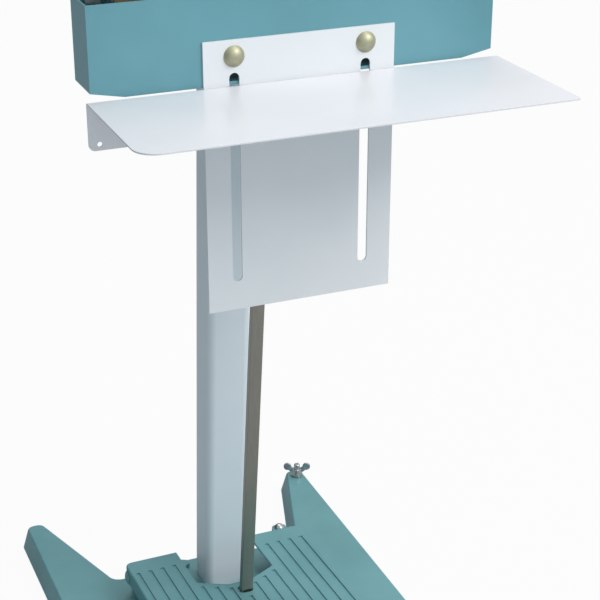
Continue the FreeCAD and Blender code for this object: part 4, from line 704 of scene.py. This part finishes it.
deselect()
bpy.ops.mesh.primitive_circle_add(
    vertices=12, radius=WIRE_RADIUS, fill_type="NOTHING",
    location=(COIL_RADIUS, 0, 0), rotation=(math.radians(90), 0, 0))
spring = bpy.context.object
spring.name = "wound_return_spring"
settle()
winding = spring.modifiers.new("winding", "SCREW")
winding.angle = math.radians(360)
winding.screw_offset = (spring_high.z - spring_low.z - 2 * WIRE_RADIUS) / SPRING_TURNS
winding.iterations = SPRING_TURNS
winding.steps = STEPS_A_TURN
winding.render_steps = STEPS_A_TURN
bpy.ops.object.modifier_apply(modifier=winding.name)
bpy.ops.object.mode_set(mode="EDIT")
bpy.ops.mesh.select_all(action="SELECT")
bpy.ops.mesh.remove_doubles(threshold=SPRING_WELD)
bpy.ops.mesh.fill_holes(sides=0)
bpy.ops.mesh.normals_make_consistent(inside=False)
bpy.ops.object.mode_set(mode="OBJECT")
spring.location = (spring_x, spring_y, spring_low.z + WIRE_RADIUS)
settle()
dress(spring, "return_spring", "spring_steel", SPRING_SMOOTH_ANGLE)
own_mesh(spring)
print("spring turns:", SPRING_TURNS, "faces:", len(spring.data.polygons))

# %% [markdown]
# ## Places on the sloping panel
# The panel of the control box slopes towards the user, and the dial's axis stands square on it. That
# axis therefore gives the panel's two directions: out of it and up along it. A print is drawn flat about
# the origin, where it is easy to draw, and one helper then stands it on any face that looks out.

# %% Panel places
dial_centre = Vector(joint("dial_turn")["pos_m"])
panel_out = -Vector(joint("dial_turn")["axis"]).normalized()
panel_up = Vector((0, panel_out.z, -panel_out.y))


def stand_on(piece, place, out):
    """Stand a flat piece, drawn about the origin and facing +Z, at a place on a face that looks out."""
    side = Vector((1, 0, 0))
    turn = Matrix((side, out.cross(side), out)).transposed().to_4x4()
    piece.matrix_world = Matrix.Translation(place) @ turn @ piece.matrix_world
    work_on(piece)
    settle()


def beside_dial(piece, across, up, out=0):
    place = dial_centre + Vector((across, 0, 0)) + panel_up * up + panel_out * out
    stand_on(piece, place, panel_out)


def print_piece(piece, name, body):
    piece.name = name
    piece.data.materials.clear()
    piece.data.materials.append(finishes["white_ink"])
    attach(piece, body)


print("panel looks out along:", [round(value, 3) for value in panel_out])

# %% [markdown]
# ## White ink
# The scale is screen printed: a film of ink a twentieth of a millimetre proud. A figure is text made
# into a mesh. A line is a bar whose edges are taken off, because ink has no square edge either.

# %% Figures and lines
INK = 0.05 * MM


def word(letters, height):
    deselect()
    bpy.ops.object.text_add(location=(0, 0, 0))
    label = bpy.context.object
    label.data.body = letters
    label.data.size = height
    label.data.align_x = "CENTER"
    label.data.align_y = "CENTER"
    label.data.extrude = INK
    bpy.ops.object.convert(target="MESH")
    return bpy.context.object


def line(width, length, turn):
    deselect()
    bpy.ops.mesh.primitive_cube_add(size=1, location=(0, 0, INK / 2))
    bar = bpy.context.object
    bar.scale = (width, length, INK)
    settle()
    bpy.ops.object.mode_set(mode="EDIT")
    bpy.ops.mesh.select_all(action="SELECT")
    bpy.ops.mesh.bevel(offset=INK * 0.3, segments=2)
    bpy.ops.object.mode_set(mode="OBJECT")
    bar.rotation_euler = (0, 0, turn)
    settle()
    return bar


# %% [markdown]
# ## The timer's scale
# The dial turns through 270 degrees, so the figures 0 to 8 stand evenly on that arc, each with a tick
# between it and the dial. The pointer is printed on the dial's own top and rides with it: it stands at 0
# at rest, and at 8 when the dial is turned all the way.

# %% Scale and pointer
SCALE_RADIUS = 24.5 * MM
FIGURE_HEIGHT = 5.2 * MM
TICK_RADIUS = 20.0 * MM
TICK_WIDTH = 0.5 * MM
TICK_LENGTH = 2.4 * MM
POINTER_RADIUS = 7.5 * MM
POINTER_WIDTH = 1.1 * MM
POINTER_LENGTH = 8.0 * MM
DIAL_TOP = 14.0 * MM
FIGURES = 9
START_ANGLE = 225
SWEEP = 270

for number in range(FIGURES):
    angle = math.radians(START_ANGLE - SWEEP * number / (FIGURES - 1))
    across, up = math.cos(angle), math.sin(angle)
    figure = word(str(number), FIGURE_HEIGHT)
    beside_dial(figure, SCALE_RADIUS * across, SCALE_RADIUS * up)
    print_piece(figure, f"scale_number_{number}", "frame")
    tick = line(TICK_WIDTH, TICK_LENGTH, angle - math.pi / 2)
    beside_dial(tick, TICK_RADIUS * across, TICK_RADIUS * up)
    print_piece(tick, f"scale_tick_{number}", "frame")
start = math.radians(START_ANGLE)
pointer = line(POINTER_WIDTH, POINTER_LENGTH, start - math.pi / 2)
beside_dial(pointer, POINTER_RADIUS * math.cos(start), POINTER_RADIUS * math.sin(start), DIAL_TOP)
print_piece(pointer, "dial_pointer", "dial")
print("scale numbers:", FIGURES)

# %% [markdown]
# ## The rocker's marks
# A power switch carries a line for on and a ring for off. Its key has two sloping halves, and a mark has
# to lie on each. Rather than work the slopes out, a ray is shot at the key from outside: where it lands
# is the mark's place, and the face's normal there tells how the mark is turned.

# %% Line and ring
MARK_RISE = 5.0 * MM
MARK_HEIGHT = 4.4 * MM
RAY_START = 40 * MM
key_centre = Vector(joint("rocker_tilt")["pos_m"])
key = bpy.data.objects["power_rocker_worked"]
for mark, rise in (("I", MARK_RISE), ("O", -MARK_RISE)):
    above = key_centre + panel_up * rise + panel_out * RAY_START
    met, place, face_out, _ = key.ray_cast(above, -panel_out)
    sign_piece = word(mark, MARK_HEIGHT)
    stand_on(sign_piece, place, face_out)
    print_piece(sign_piece, f"rocker_mark_{mark}", "rocker")
    print("rocker mark", mark, "on the key:", met, [round(value, 3) for value in face_out])

# %% [markdown]
# ## Finishes of the remaining frame nodes
# The other nodes are small or hidden, and the frame's own form is right for them. They keep it, and only
# get the finish that their slot names and a smooth shading of their round faces.

# %% Remaining nodes
kept_nodes = [node for node, piece in frame["nodes"].items() if not piece.hide_render]
for node in kept_nodes:
    piece = frame["nodes"][node]
    piece.data.materials.clear()
    piece.data.materials.append(finishes[slot_of_node[node]])
    work_on(piece)
    bpy.ops.object.shade_smooth_by_angle(angle=math.radians(SMOOTH_ANGLE))
print("nodes in their own form:", len(kept_nodes))

# %% [markdown]
# ## The end
# The last line clears the selection.

# %% Clearing the selection
deselect()
